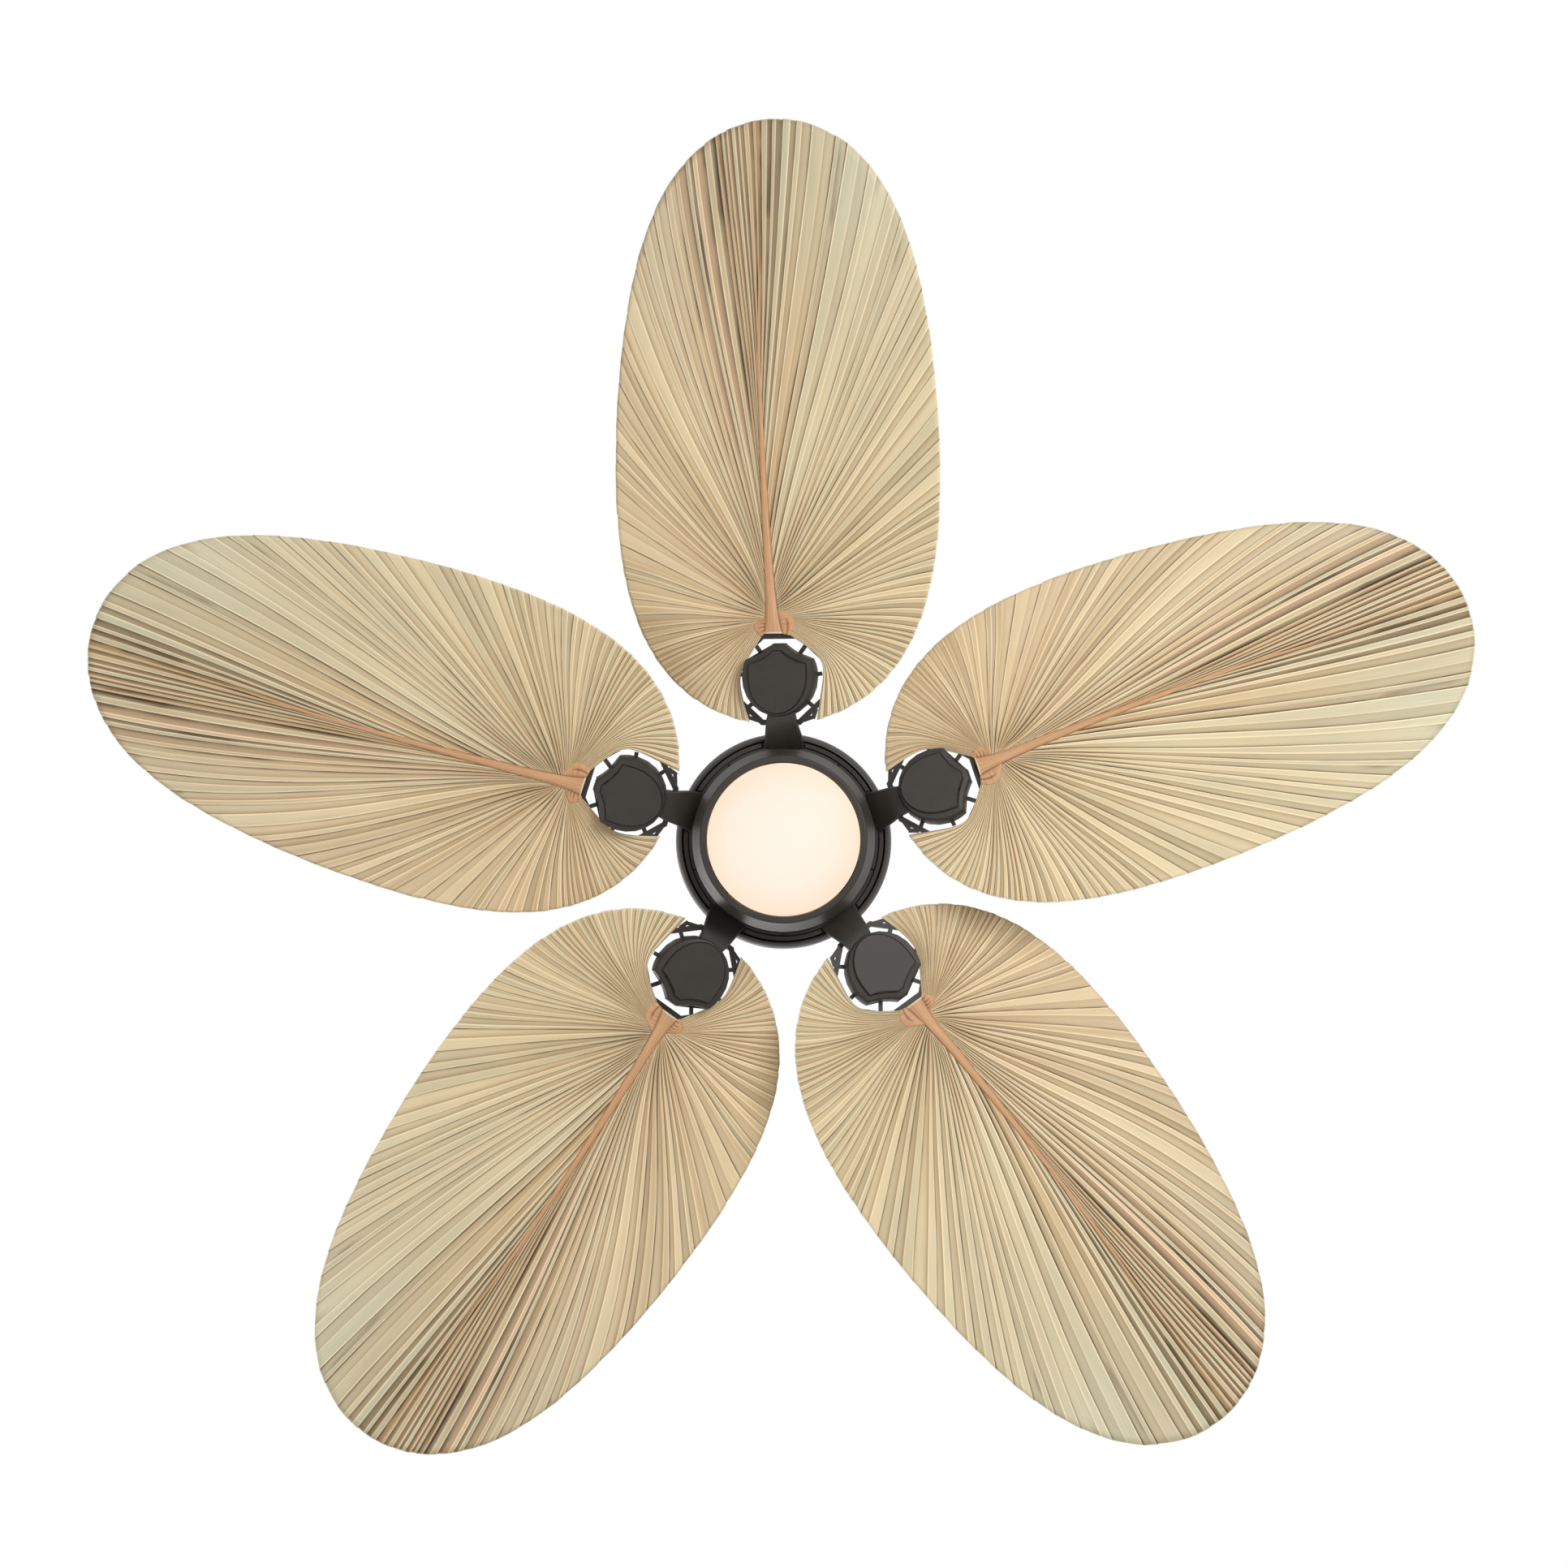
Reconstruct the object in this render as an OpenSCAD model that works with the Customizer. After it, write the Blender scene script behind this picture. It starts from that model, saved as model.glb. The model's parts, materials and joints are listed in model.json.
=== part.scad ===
// Ceiling fan with five palm-leaf blades and a round light, hung from a ball joint.
// The origin is the middle of the ceiling face, and the fan hangs down along -Z.

/* [Fan] */
// Diameter of the circle that the leaf tips turn in
sweep_d = 1321; // [1260:1:1380]
// Height of the axis that the leaves are pitched about, below the ceiling
pitch_axis_drop = 257; // [256:0.5:258]
// Pitch of every leaf about its own length, in degrees
pitch = 13; // [8:1:16]

/* [Leaf] */
// Greatest half width of a leaf
leaf_half_w = 151.2; // [130:0.1:160]
// Fold lines on each side of the midrib
leaf_folds = 30; // [16:2:34]
// Points along each fold line
leaf_rows = 8; // [5:1:10]
// Height of a pleat from valley to ridge
pleat_h = 4.6; // [2:0.2:6]
// Thickness of the leaf
leaf_t = 1.2; // [0.8:0.1:1.6]

/* [Motor] */
// Radius of the motor housing
housing_r = 98.7; // [97:0.1:102]
// Radius of the motor shaft
shaft_r = 7.5; // [7:0.1:7.5]
// Slots in the stator core
stator_slots = 18; // [12:1:24]

/* [Light] */
// Radius of the diffuser's rim
diffuser_r = 69.2; // [68:0.1:69.5]
// Depth of the diffuser's dome
dome_h = 13; // [6:1:20]

/* [Suspension] */
// Radius of the hanger ball
ball_r = 30; // [29.5:0.1:30]
// Radius of the downrod
rod_r = 10.65; // [10:0.05:10.65]
// Radius of the canopy at the ceiling
canopy_r = 65; // [64:0.5:72]

/* [Hidden] */
$fn = 96;
BLADES = 5;
FIRST_BLADE = 90; // the first leaf points along +Y
cut = 1; // how far a cutting shape runs past the face that it cuts

bronze = [0.22, 0.20, 0.18];
bronze_edge = [0.27, 0.25, 0.23];
leaf_tan = [0.82, 0.75, 0.61];
steel = [0.72, 0.72, 0.70];
zinc = [0.62, 0.62, 0.60];
copper = [0.72, 0.42, 0.24];
opal = [1.0, 0.97, 0.90];
black_plastic = [0.10, 0.10, 0.10];
white_board = [0.92, 0.92, 0.88];

// Suspension, from the ceiling down
sheet_t = 2.5;
bracket_w = 69;
bracket_l = 118;
leg_w = 36;
slot_pitch = 88.9; // ceiling box screws, 3.5 in apart
slot_w = 5.4;
slot_l = 14;
ball_z = -38;
seat_z = -59;
seat_r = 48;
seat_clear = 0.08;
collar_top = -50;
collar_r = 28.2;
groove_r = 23;
groove_w = 5;
rod_way = 30;
canopy_floor_z = -60.6;
canopy_floor_r = 54;
canopy_hole_r = 24;
wall_t = 1.5;
canopy_screw_at = [36, 22];
cover_z = -73;
cover_hole_r = 17;
rod_top_z = -22;
rod_bottom_z = -168;
rod_bore_r = 8.4;
pin_r = 3;
pin_clear = 0.05;
ball_pin_z = ball_z + 4;
clevis_z = -160;
coupling_r = 16;
coupling_top_z = -146;
flange_z = -184;
flange_r = 34;
flange_t = 4;
housing_bolt_r = 25;

// Motor
rotor_r = 70;
rotor_bolt_r = rotor_r + 3.4;
core_r = 54;
core_top_z = -211;
core_bottom_z = -237;
winding_h = 7.6;
air_gap = 0.5;
shell_top_z = -198;
shell_t = 2.5;
shell_split_z = -224;
shell_floor_z = -252;
bearing_r = 17.5;
bearing_h = 10.6;
bearing_pitch_r = 12.5;
bearing_ball_r = 2.95;
bearing_zs = [-196, -246.5]; // middle of each bearing
bearing_balls_n = 8;
shaft_top_z = -172;
shaft_bottom_z = -281;

// Hub, blade irons and leaves
hub_plate_t = 1.5;
hub_r = 91.2;
band_r = 87.5;
band_h = 5.5;
iron_top_z = shell_floor_z - hub_plate_t;
iron_t = 5;
iron_bolt_r = 62;
iron_bolt_spread = 11; // degrees to each side of the iron's middle
wing_r = [83.8, 86.2];
wing_spread = 35.6;
arm_w = [37.4, 23.8]; // at the hub and at the shield
arm_r = [84, 118.5];
arm_low_w = [-4.9, -22.5]; // underside, measured square to the arm
arm_t = [4.6, 8.1];
arm_edge = 1.6; // slope along the arm's lower edges
arm_shift = -2.6; // how far the arm leans towards -X on its way out
arm_steps = 8;
frame_w = -12.2; // underside of a blade frame, measured square to the leaf
frame_t = 3;
leaf_w = -13; // middle of the leaf
shield_c = 146; // distance of the shield's middle from the fan's axis
shield_face_w = -28.7;
shield_base = [35.3, 180.1]; // half width of the shield's base, and the top of its tip
shield_face = [25.9, 171.2]; // the same for its raised face
shield_pocket_w = -23.4; // ceiling of the hollow behind the face
shield_boss_r = 4.6;
blade_screw_r = 1.7;
blade_screw_len = 11;
spoke_w = 3.6;
rim_bar_y = 1.2; // the rim of a blade frame sits this far outward of the shield's middle

// Leaf outline
leaf_tip_r = sweep_d / 2;
leaf_root_r = 104.7;
leaf_mid = (leaf_tip_r + leaf_root_r) / 2;
leaf_reach = (leaf_tip_r - leaf_root_r) / 2;
leaf_shift = 3.6; // the outline sits a little to one side of the arm
leaf_lean = 3.05; // and its tip farther than its root
rim_skew = 0.0945;
rim_square = 0.2387;
rim_tip_a = 6.5; // where the midrib's line meets the rim
rim_end_a = [170, 172]; // where the rim ends beside the arm, at -X and at +X
notch_r = 39.8;
notch_x = -1.1;
notch_start_a = [84, 64]; // on the -X side and on the +X side
notch_end_a = 25;
notch_turn = 7; // the fold lines leave the notch this much outward of its edge
rib_base_r = 188;
rib_end_r = 446;
rib_base_x = 6.2;
rib_lean = 14.2;
stem_share = 0.76; // share of the fold lines that leave the midrib
rib_folds = round(leaf_folds * stem_share);

// Light
light_top_z = -266;
light_plate_t = 2.2;
light_r = 83.2;
light_face_r = 75.8;
light_face_z = -322.5;
light_hole_r = 70.2;
light_bolt_r = 68;
carrier_z = -292.5;
carrier_r = 62;
diffuser_rim_z = -320;
collar_out_r = 66.6;
lug_in_r = 67.2;
lug_z = -310; // top of a lug
lug_t = 3;
lug_end_a = 104; // degrees, as are the next three
lug_w = 28;
lug_stop_w = 3;
tab_w = 16;

// ---- General shapes ----

function bezier(a, b, c, n) =
    [for (i = [0:n]) let (t = i / n) (1 - t) * (1 - t) * a + 2 * t * (1 - t) * b + t * t * c];

function reversed(list) = [for (i = [len(list) - 1:-1:0]) list[i]];

function smooth(x) = let (t = min(max(x, 0), 1)) t * t * (3 - 2 * t);

function direction(path, i) =
    let (d = path[min(i + 1, len(path) - 1)] - path[max(i - 1, 0)]) d / norm(d);

// The path moved sideways by d, to its left
function parallel(path, d) =
    [for (i = [0:len(path) - 1]) let (u = direction(path, i)) path[i] + d * [-u[1], u[0]]];

// A thin wall turned about Z: profile holds [radius, z] points of its outer side
module shell(profile, t = wall_t) {
    rotate_extrude() polygon(concat(profile, reversed(parallel(profile, -t))));
}

module ring(r_in, r_out, z_low, z_high) {
    translate([0, 0, z_low])
        linear_extrude(z_high - z_low)
            difference() {
                circle(r_out);
                circle(r_in);
            }
}

module disc(r, z_low, z_high) {
    translate([0, 0, z_low]) cylinder(r = r, h = z_high - z_low);
}

module sector(r_in, r_out, from_a, to_a) {
    steps = 12;
    difference() {
        circle(r_out);
        circle(r_in);
        polygon(concat([[0, 0]],
            [for (i = [0:steps]) let (a = to_a + (360 + from_a - to_a) * i / steps)
                2 * r_out * [cos(a), sin(a)]]));
    }
}

module around(count, start = 0) {
    for (i = [0:count - 1]) rotate(start + i * 360 / count) children();
}

module bar(from, to, w) {
    d = to - from;
    translate(from) rotate(atan2(d[1], d[0])) translate([0, -w / 2]) square([norm(d), w]);
}

// Screw along Z: its shank goes up from the origin, and its head hangs below
module screw(shank_r, shank_l, head_r, head_h) {
    translate([0, 0, -head_h / 2]) cylinder(r = shank_r, h = shank_l + head_h / 2);
    translate([0, 0, -head_h])
        difference() {
            cylinder(r = head_r, h = head_h);
            translate([-head_r, -0.5, -cut]) cube([2 * head_r, 1, cut + head_h * 0.4]);
        }
}

// A solid through rings of points, all with the same number of points
module loft(rings) {
    n = len(rings[0]);
    last = len(rings) - 1;
    sides = [for (j = [0:last - 1], i = [0:n - 1]) let (k = (i + 1) % n)
        [j * n + i, (j + 1) * n + i, (j + 1) * n + k, j * n + k]];
    caps = [[for (i = [0:n - 1]) i], [for (i = [n - 1:-1:0]) last * n + i]];
    polyhedron(points = [for (r = rings, p = r) p], faces = concat(sides, caps), convexity = 6);
}

// ---- Suspension ----

module hanger_bracket() {
    color(zinc) {
        difference() {
            union() {
                translate([0, 0, -sheet_t]) linear_extrude(sheet_t)
                    intersection() {
                        square([bracket_l, bracket_w], center = true);
                        circle(bracket_l / 2);
                    }
                for (side = [-1, 1])
                    translate([-leg_w / 2, side * (bracket_w - sheet_t) / 2 - sheet_t / 2, seat_z])
                        cube([leg_w, sheet_t, -seat_z - sheet_t / 2]);
                translate([0, 0, seat_z]) linear_extrude(sheet_t)
                    intersection() {
                        square([2 * seat_r, bracket_w], center = true);
                        circle(seat_r);
                    }
                disc(collar_r, seat_z, collar_top);
            }
            translate([0, 0, ball_z]) sphere(ball_r + seat_clear);
            disc(ball_r * 0.7, seat_z - cut, collar_top);
            translate([-2 * seat_r, -rod_way / 2, seat_z - cut])
                cube([2 * seat_r, rod_way, collar_top - seat_z + 2 * cut]);
            for (side = [-1, 1]) {
                translate([side * slot_pitch / 2, 0, -sheet_t - cut]) ceiling_slot();
                translate([-14, side * 25.5 - 4.5, -sheet_t - cut])
                    cube([28, 9, sheet_t + 2 * cut]);
            }
            for (sx = [-1, 1], sy = [-1, 1])
                translate([sx * canopy_screw_at[0], sy * canopy_screw_at[1], seat_z - cut])
                    cylinder(r = 2, h = sheet_t + 2 * cut);
        }
        // Tab that rides in the ball's groove, so that the rod can't turn
        translate([0, 0, ball_z])
            intersection() {
                rotate([0, 90, 0]) ring(groove_r + 0.8, ball_r + 3, -2, 2);
                translate([-3, 15, seat_z - ball_z])
                    cube([6, collar_r - 15.7, collar_top - seat_z]);
            }
    }
}

module ceiling_slot() {
    linear_extrude(sheet_t + 2 * cut) {
        square([slot_l - slot_w, slot_w], center = true);
        for (side = [-1, 1]) translate([side * (slot_l - slot_w) / 2, 0]) circle(slot_w / 2);
    }
}

module receiver() {
    color(black_plastic)
        difference() {
            translate([-37, -18, -17.5]) cube([74, 36, 15]);
            for (side = [-1, 1]) translate([side * 37 - 3, -12, -17.5 - cut]) cube([6, 24, 5]);
        }
}

module canopy() {
    profile = concat([[canopy_r, -1], [canopy_r, -6], [canopy_r - 2.5, -9]],
        bezier([canopy_r - 3, -12], [canopy_r - 3.5, -44], [canopy_floor_r + 1, -58], 10),
        [[canopy_floor_r - 1, canopy_floor_z], [canopy_hole_r, canopy_floor_z]]);
    color(bronze)
        difference() {
            shell(profile, wall_t);
            for (sx = [-1, 1], sy = [-1, 1])
                translate([sx * canopy_screw_at[0], sy * canopy_screw_at[1],
                    canopy_floor_z - cut])
                    cylinder(r = 2.3, h = wall_t + 2 * cut);
        }
}

module canopy_screws() {
    color(steel)
        for (sx = [-1, 1], sy = [-1, 1])
            translate([sx * canopy_screw_at[0], sy * canopy_screw_at[1], canopy_floor_z])
                screw(2, 7, 4, 2.4);
}

module canopy_cover() {
    profile = concat([[canopy_floor_r - 1.5, canopy_floor_z], [canopy_floor_r - 1.5, -63]],
        bezier([canopy_floor_r - 2, -65], [44, -71], [cover_hole_r + 6, cover_z + 0.2], 8),
        [[cover_hole_r, cover_z]]);
    color(bronze) shell(profile, wall_t);
}

module hanger_ball() {
    color(black_plastic)
        translate([0, 0, ball_z])
            difference() {
                intersection() {
                    sphere(ball_r);
                    disc(ball_r + cut, -24, 10);
                }
                disc(rod_r + 0.1, -24 - cut, 10 + cut);
                intersection() {
                    rotate([0, 90, 0]) ring(groove_r, ball_r + 2, -groove_w / 2, groove_w / 2);
                    translate([-groove_w, 0, -ball_r]) cube([2 * groove_w, 2 * ball_r, 2 * ball_r]);
                }
                translate([0, 0, ball_pin_z - ball_z])
                    rotate([0, 90, 0]) cylinder(r = pin_r + pin_clear, h = 3 * ball_r, center = true);
                translate([0, -rod_r, 0]) rotate([90, 0, 0]) cylinder(r = 2.5, h = ball_r);
            }
}

module ball_pin() {
    color(steel)
        translate([0, 0, ball_pin_z])
            rotate([0, 90, 0]) cylinder(r = pin_r, h = 52, center = true);
}

module ball_set_screw() {
    color(steel)
        translate([0, -rod_r, ball_z])
            rotate([90, 0, 0])
                difference() {
                    cylinder(r = 2.5, h = 14);
                    translate([0, 0, 11]) cylinder(r = 1.4, h = 4, $fn = 6);
                }
}

module downrod() {
    color(bronze)
        difference() {
            ring(rod_bore_r, rod_r, rod_bottom_z, rod_top_z);
            for (z = [ball_pin_z, clevis_z])
                translate([0, 0, z])
                    rotate([0, 90, 0]) cylinder(r = pin_r + pin_clear, h = 60, center = true);
        }
}

module motor_coupling() {
    color(zinc)
        difference() {
            union() {
                disc(coupling_r, flange_z, coupling_top_z);
                disc(flange_r, flange_z, flange_z + flange_t);
                for (a = [0:120:240]) rotate(a + 60)
                    translate([coupling_r - 2, -1.5, flange_z + flange_t - 0.5])
                        cube([10, 3, 14]);
            }
            disc(rod_r + 0.1, rod_bottom_z - 0.5, coupling_top_z + cut);
            disc(shaft_r, flange_z - cut, rod_bottom_z);
            translate([0, 0, clevis_z])
                rotate([0, 90, 0]) cylinder(r = pin_r + pin_clear, h = 60, center = true);
            for (side = [-1, 1]) translate([0, side * rod_r, -152])
                rotate([-side * 90, 0, 0]) cylinder(r = 2.5, h = 12);
            around(3) translate([housing_bolt_r, 0, flange_z - cut])
                cylinder(r = 2.2, h = flange_t + 2 * cut);
        }
}

module clevis_pin() {
    color(steel)
        translate([0, 0, clevis_z])
            rotate([0, 90, 0])
                difference() {
                    union() {
                        translate([0, 0, -18.5]) cylinder(r = pin_r, h = 40.5);
                        translate([0, 0, -18.5]) cylinder(r = pin_r + 1.6, h = 2.4);
                    }
                    translate([-6, 0, 18.4]) rotate([0, 90, 0]) cylinder(r = 0.9, h = 12);
                }
}

module hairpin_clip() {
    color(steel)
        translate([18.4, 0, clevis_z]) {
            translate([0, 0, -9]) cylinder(r = 0.8, h = 17);
            translate([0, 5, 8])
                rotate([0, 90, 0]) rotate([0, 0, -90])
                    rotate_extrude(angle = 180) translate([5, 0]) circle(0.8, $fn = 24);
            translate([0, 10, -4]) cylinder(r = 0.8, h = 12);
        }
}

module coupling_set_screws() {
    color(steel)
        for (side = [-1, 1])
            translate([0, side * rod_r, -152])
                rotate([-side * 90, 0, 0]) cylinder(r = 2.5, h = 6.5);
}

module yoke_cover() {
    profile = concat([[13, -117], [14.5, -118.5], [14.5, -123]],
        bezier([16, -124], [19, -158], [43, -176], 14),
        [[46, -180], [46, flange_z]]);
    color(bronze) shell(profile, 1.4);
}

// ---- Stator side of the motor ----

module motor_housing() {
    profile = concat([[18, flange_z], [58, flange_z]],
        bezier([62, flange_z - 0.4], [housing_r, -190], [housing_r, -214], 14),
        bezier([housing_r, -234], [housing_r, -249], [housing_r - 4.2, -254.2], 10),
        [[housing_r - 5.6, -254.6], [housing_r - 6.3, -253.4]]);
    color(bronze)
        difference() {
            shell(profile, 1.6);
            around(24) translate([64, -2, -212]) cube([17, 4, 30]);
            around(3) translate([housing_bolt_r, 0, flange_z - 4])
                cylinder(r = 2, h = 5);
        }
}

module housing_screws() {
    color(steel)
        around(3) translate([housing_bolt_r, 0, flange_z + flange_t])
            rotate([180, 0, 0]) screw(1.9, flange_t + 3, 3.8, 2.4);
}

module motor_shaft() {
    color(steel)
        ring(3.6, shaft_r, shaft_bottom_z, shaft_top_z);
}

module stator_core() {
    color(steel)
        translate([0, 0, core_bottom_z]) linear_extrude(core_top_z - core_bottom_z)
            difference() {
                circle(core_r);
                circle(shaft_r);
                around(stator_slots) stator_slot(0);
                around(6, 30) translate([19, 0]) circle(3.5);
            }
}

module stator_slot(play) {
    translate([31 + play, -3 + play]) square([18 - 2 * play, 6 - 2 * play]);
    if (play == 0) translate([48, -1]) square([core_r - 46, 2]);
}

module stator_windings() {
    color(copper) {
        translate([0, 0, core_bottom_z - 0.5]) linear_extrude(core_top_z - core_bottom_z + 1)
            around(stator_slots) stator_slot(0.3);
        for (z = [core_bottom_z - winding_h, core_top_z + 0.1])
            ring(31.3, 48.7, z, z + winding_h - 0.1);
    }
}

module bearing_groove(z) {
    translate([0, 0, z]) rotate_extrude() translate([bearing_pitch_r, 0])
        circle(bearing_ball_r + 0.05, $fn = 48);
}

module inner_races() {
    color(steel)
        for (z = bearing_zs)
            difference() {
                ring(shaft_r, bearing_pitch_r - 1.9, z - bearing_h / 2, z + bearing_h / 2);
                bearing_groove(z);
            }
}

module outer_races() {
    color(steel)
        for (z = bearing_zs)
            difference() {
                ring(bearing_pitch_r + 1.9, bearing_r, z - bearing_h / 2, z + bearing_h / 2);
                bearing_groove(z);
            }
}

module ball_cages() {
    color(copper)
        for (z = bearing_zs)
            difference() {
                ring(bearing_pitch_r - 0.8, bearing_pitch_r + 0.8, z - 2.2, z + 3.4);
                translate([0, 0, z]) around(bearing_balls_n)
                    translate([bearing_pitch_r, 0, 0]) sphere(bearing_ball_r + 0.06, $fn = 48);
            }
}

module bearing_balls() {
    color(steel)
        for (z = bearing_zs)
            translate([0, 0, z]) around(bearing_balls_n)
                translate([bearing_pitch_r, 0, 0]) sphere(bearing_ball_r, $fn = 48);
}

// ---- Rotor ----

module rotor_shell(face_z, split_z, bearing_z) {
    up = face_z > split_z ? 1 : -1;
    bore_z = bearing_z + up * bearing_h / 2;
    lip_z = bore_z + up * 1.4;
    profile = [[13.8, lip_z], [21, lip_z], [22.5, face_z], [rotor_r - 1.5, face_z],
        [rotor_r, face_z - up * 1.5], [rotor_r, split_z], [rotor_r - 3.1, split_z],
        [rotor_r - 3.1, face_z - up * shell_t], [21, face_z - up * shell_t],
        [21, bearing_z - up * bearing_h / 2], [bearing_r, bearing_z - up * bearing_h / 2],
        [bearing_r, bore_z], [13.8, bore_z]];
    difference() {
        union() {
            rotate_extrude() polygon(profile);
            around(4, 45) translate([rotor_bolt_r, 0, min(split_z, split_z + up * 5)])
                cylinder(r = 5, h = 5);
        }
        disc(rotor_r - 3.1, split_z - 6, split_z + 6);
        around(4, 45) translate([rotor_bolt_r, 0, split_z - 6]) cylinder(r = 1.75, h = 12);
    }
}

module rotor_upper_shell() {
    color(zinc)
        difference() {
            rotor_shell(shell_top_z, shell_split_z, bearing_zs[0]);
            around(8) translate([32, -4, shell_top_z - shell_t - cut])
                cube([20, 8, shell_t + 2 * cut]);
        }
}

module rotor_lower_shell() {
    color(zinc)
        difference() {
            union() {
                rotor_shell(shell_floor_z, shell_split_z, bearing_zs[1]);
                ring(56, rotor_r - 2, shell_floor_z + 1, core_bottom_z - 2);
            }
            iron_holes(1.7, shell_floor_z - cut, 11);
        }
}

module rotor_core() {
    color(steel)
        difference() {
            ring(core_r + air_gap, rotor_r - 3.1, core_bottom_z, core_top_z);
            around(32) translate([core_r + 4, 0, core_bottom_z - cut])
                cylinder(r = 1.6, h = core_top_z - core_bottom_z + 2 * cut, $fn = 24);
        }
}

module rotor_bolts() {
    color(steel)
        around(4, 45) translate([rotor_bolt_r, 0, shell_split_z - 5])
            screw(1.7, 12, 3, 2.2);
}

module hub_cover() {
    color(bronze_edge)
        difference() {
            union() {
                ring(50, hub_r, iron_top_z, shell_floor_z);
                translate([0, 0, iron_top_z - band_h]) linear_extrude(band_h + 0.5)
                    difference() {
                        circle(hub_r);
                        circle(band_r);
                        around(BLADES, FIRST_BLADE)
                            translate([0, -arm_w[0] / 2 - 1.2]) square([120, arm_w[0] + 2.4]);
                    }
            }
            iron_holes(1.9, iron_top_z - cut, 4);
        }
}

// ---- Blade irons, frames and leaves ----

module iron_holes(r, z, h) {
    around(BLADES, FIRST_BLADE)
        for (side = [-1, 1]) rotate(side * iron_bolt_spread)
            translate([iron_bolt_r, 0, z]) cylinder(r = r, h = h);
}

module iron_screws() {
    color(steel)
        around(BLADES, FIRST_BLADE)
            for (side = [-1, 1]) rotate(side * iron_bolt_spread)
                translate([iron_bolt_r, 0, iron_top_z - iron_t]) screw(1.7, 14, 3.4, 2.6);
}

// Puts a shape that lies along +Y onto blade k
module at_blade(k) {
    rotate(FIRST_BLADE - 90 + k * 360 / BLADES) children();
}

// From a blade's own tilted frame, whose Z is square to the leaf
module pitched(share = 1) {
    translate([0, 0, -pitch_axis_drop]) rotate([0, -pitch * share, 0]) children();
}

// Half outline of the shield, from its tip to its round end; b goes from the base to the face
function shield_half(b) =
    let (w = shield_base[0] + (shield_face[0] - shield_base[0]) * b,
        top = shield_base[1] + (shield_face[1] - shield_base[1]) * b,
        tip_half = 5.7 - 2.3 * b,
        shoulder = [w * (0.89 + 0.095 * b), 165.8 - 6.2 * b],
        middle = shield_c + 3 - b,
        round_h = 36.6 - 4 * b)
    concat([[tip_half, top]],
        bezier([tip_half + 1, top - 1.2], [w * 0.52, shoulder[1] + 3], shoulder, 5),
        bezier(shoulder + [0.012, -0.024] * shoulder[0], [w, shoulder[1] - 8], [w, middle], 4),
        [for (a = [15:15:75]) [w * cos(a), middle - round_h * sin(a)]],
        [[0, middle - round_h]]);

function shield_outline(b) =
    let (half = shield_half(b), n = len(half))
    concat(half, [for (i = [n - 2:-1:0]) [-half[i][0], half[i][1]]]);

module shield() {
    // Each step is [share of the way from base outline to face outline, height]:
    // a steep wall, a border, a groove and the raised face
    steps = [[0, frame_w], [0.05, -17], [0.14, -22], [0.22, -24.4], [0.32, -25.4], [0.8, -26.1],
        [0.84, -25.5], [0.89, -25.5], [0.92, -28], [1, shield_face_w]];
    difference() {
        loft([for (s = steps) [for (p = shield_outline(s[0])) [p[0], p[1], s[1]]]]);
        translate([0, 0, shield_pocket_w]) linear_extrude(frame_w - shield_pocket_w + cut)
            polygon(shield_outline(0.5));
    }
    for (p = blade_screw_at())
        translate([p[0], p[1], shield_pocket_w - 0.5])
            ring(blade_screw_r, shield_boss_r, 0, frame_w - shield_pocket_w + 0.5);
}

function blade_screw_at() = [[0, shield_c + 18], [-13, shield_c - 10], [13, shield_c - 10]];

// A point of the arm, turned by a share of the pitch
function tilted(p, share) =
    let (a = pitch * share)
    [p[0] * cos(a) - p[2] * sin(a), p[1], p[0] * sin(a) + p[2] * cos(a) - pitch_axis_drop];

// Section of the arm, s of the way from the hub to the shield
function arm_ring(s) =
    let (half = (arm_w[0] + (arm_w[1] - arm_w[0]) * pow(s, 1.2)) / 2,
        low = arm_low_w[0] + (arm_low_w[1] - arm_low_w[0]) * s * (1.8 - 0.8 * s),
        high = low + arm_t[0] + (arm_t[1] - arm_t[0]) * s * s)
    [for (p = [[arm_edge - half, low], [-half, low + arm_edge], [-half, high],
            [half, high], [half, low + arm_edge], [half - arm_edge, low]])
        tilted([p[0] + arm_shift * s, arm_r[0] + (arm_r[1] - arm_r[0]) * s, p[1]], smooth(1.25 * s))];

module blade_arm() {
    loft([for (i = [0:arm_steps]) arm_ring(i / arm_steps)]);
}

module blade_iron(k) {
    color(bronze)
        at_blade(k) {
            difference() {
                translate([0, 0, iron_top_z - iron_t]) linear_extrude(iron_t) {
                    sector(50, wing_r[0] + 0.2, 90 - 19, 90 + 19);
                    sector(wing_r[0], wing_r[1], 90 - wing_spread, 90 + wing_spread);
                }
                for (side = [-1, 1]) rotate(90 + side * iron_bolt_spread)
                    translate([iron_bolt_r, 0, iron_top_z - iron_t - cut])
                        cylinder(r = 1.9, h = iron_t + 2 * cut);
            }
            // Lip that closes the hub's groove between the arms
            translate([0, 0, iron_top_z - iron_t - 2.5]) linear_extrude(2.6)
                sector(wing_r[0], wing_r[1], 90 - wing_spread, 90 + wing_spread);
            blade_arm();
            pitched() shield();
        }
}

function octagon(half_x, half_y) =
    [for (i = [0:7]) let (a = 22.5 + 45 * i) [half_x * cos(a), half_y * sin(a)] / cos(22.5)];

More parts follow.
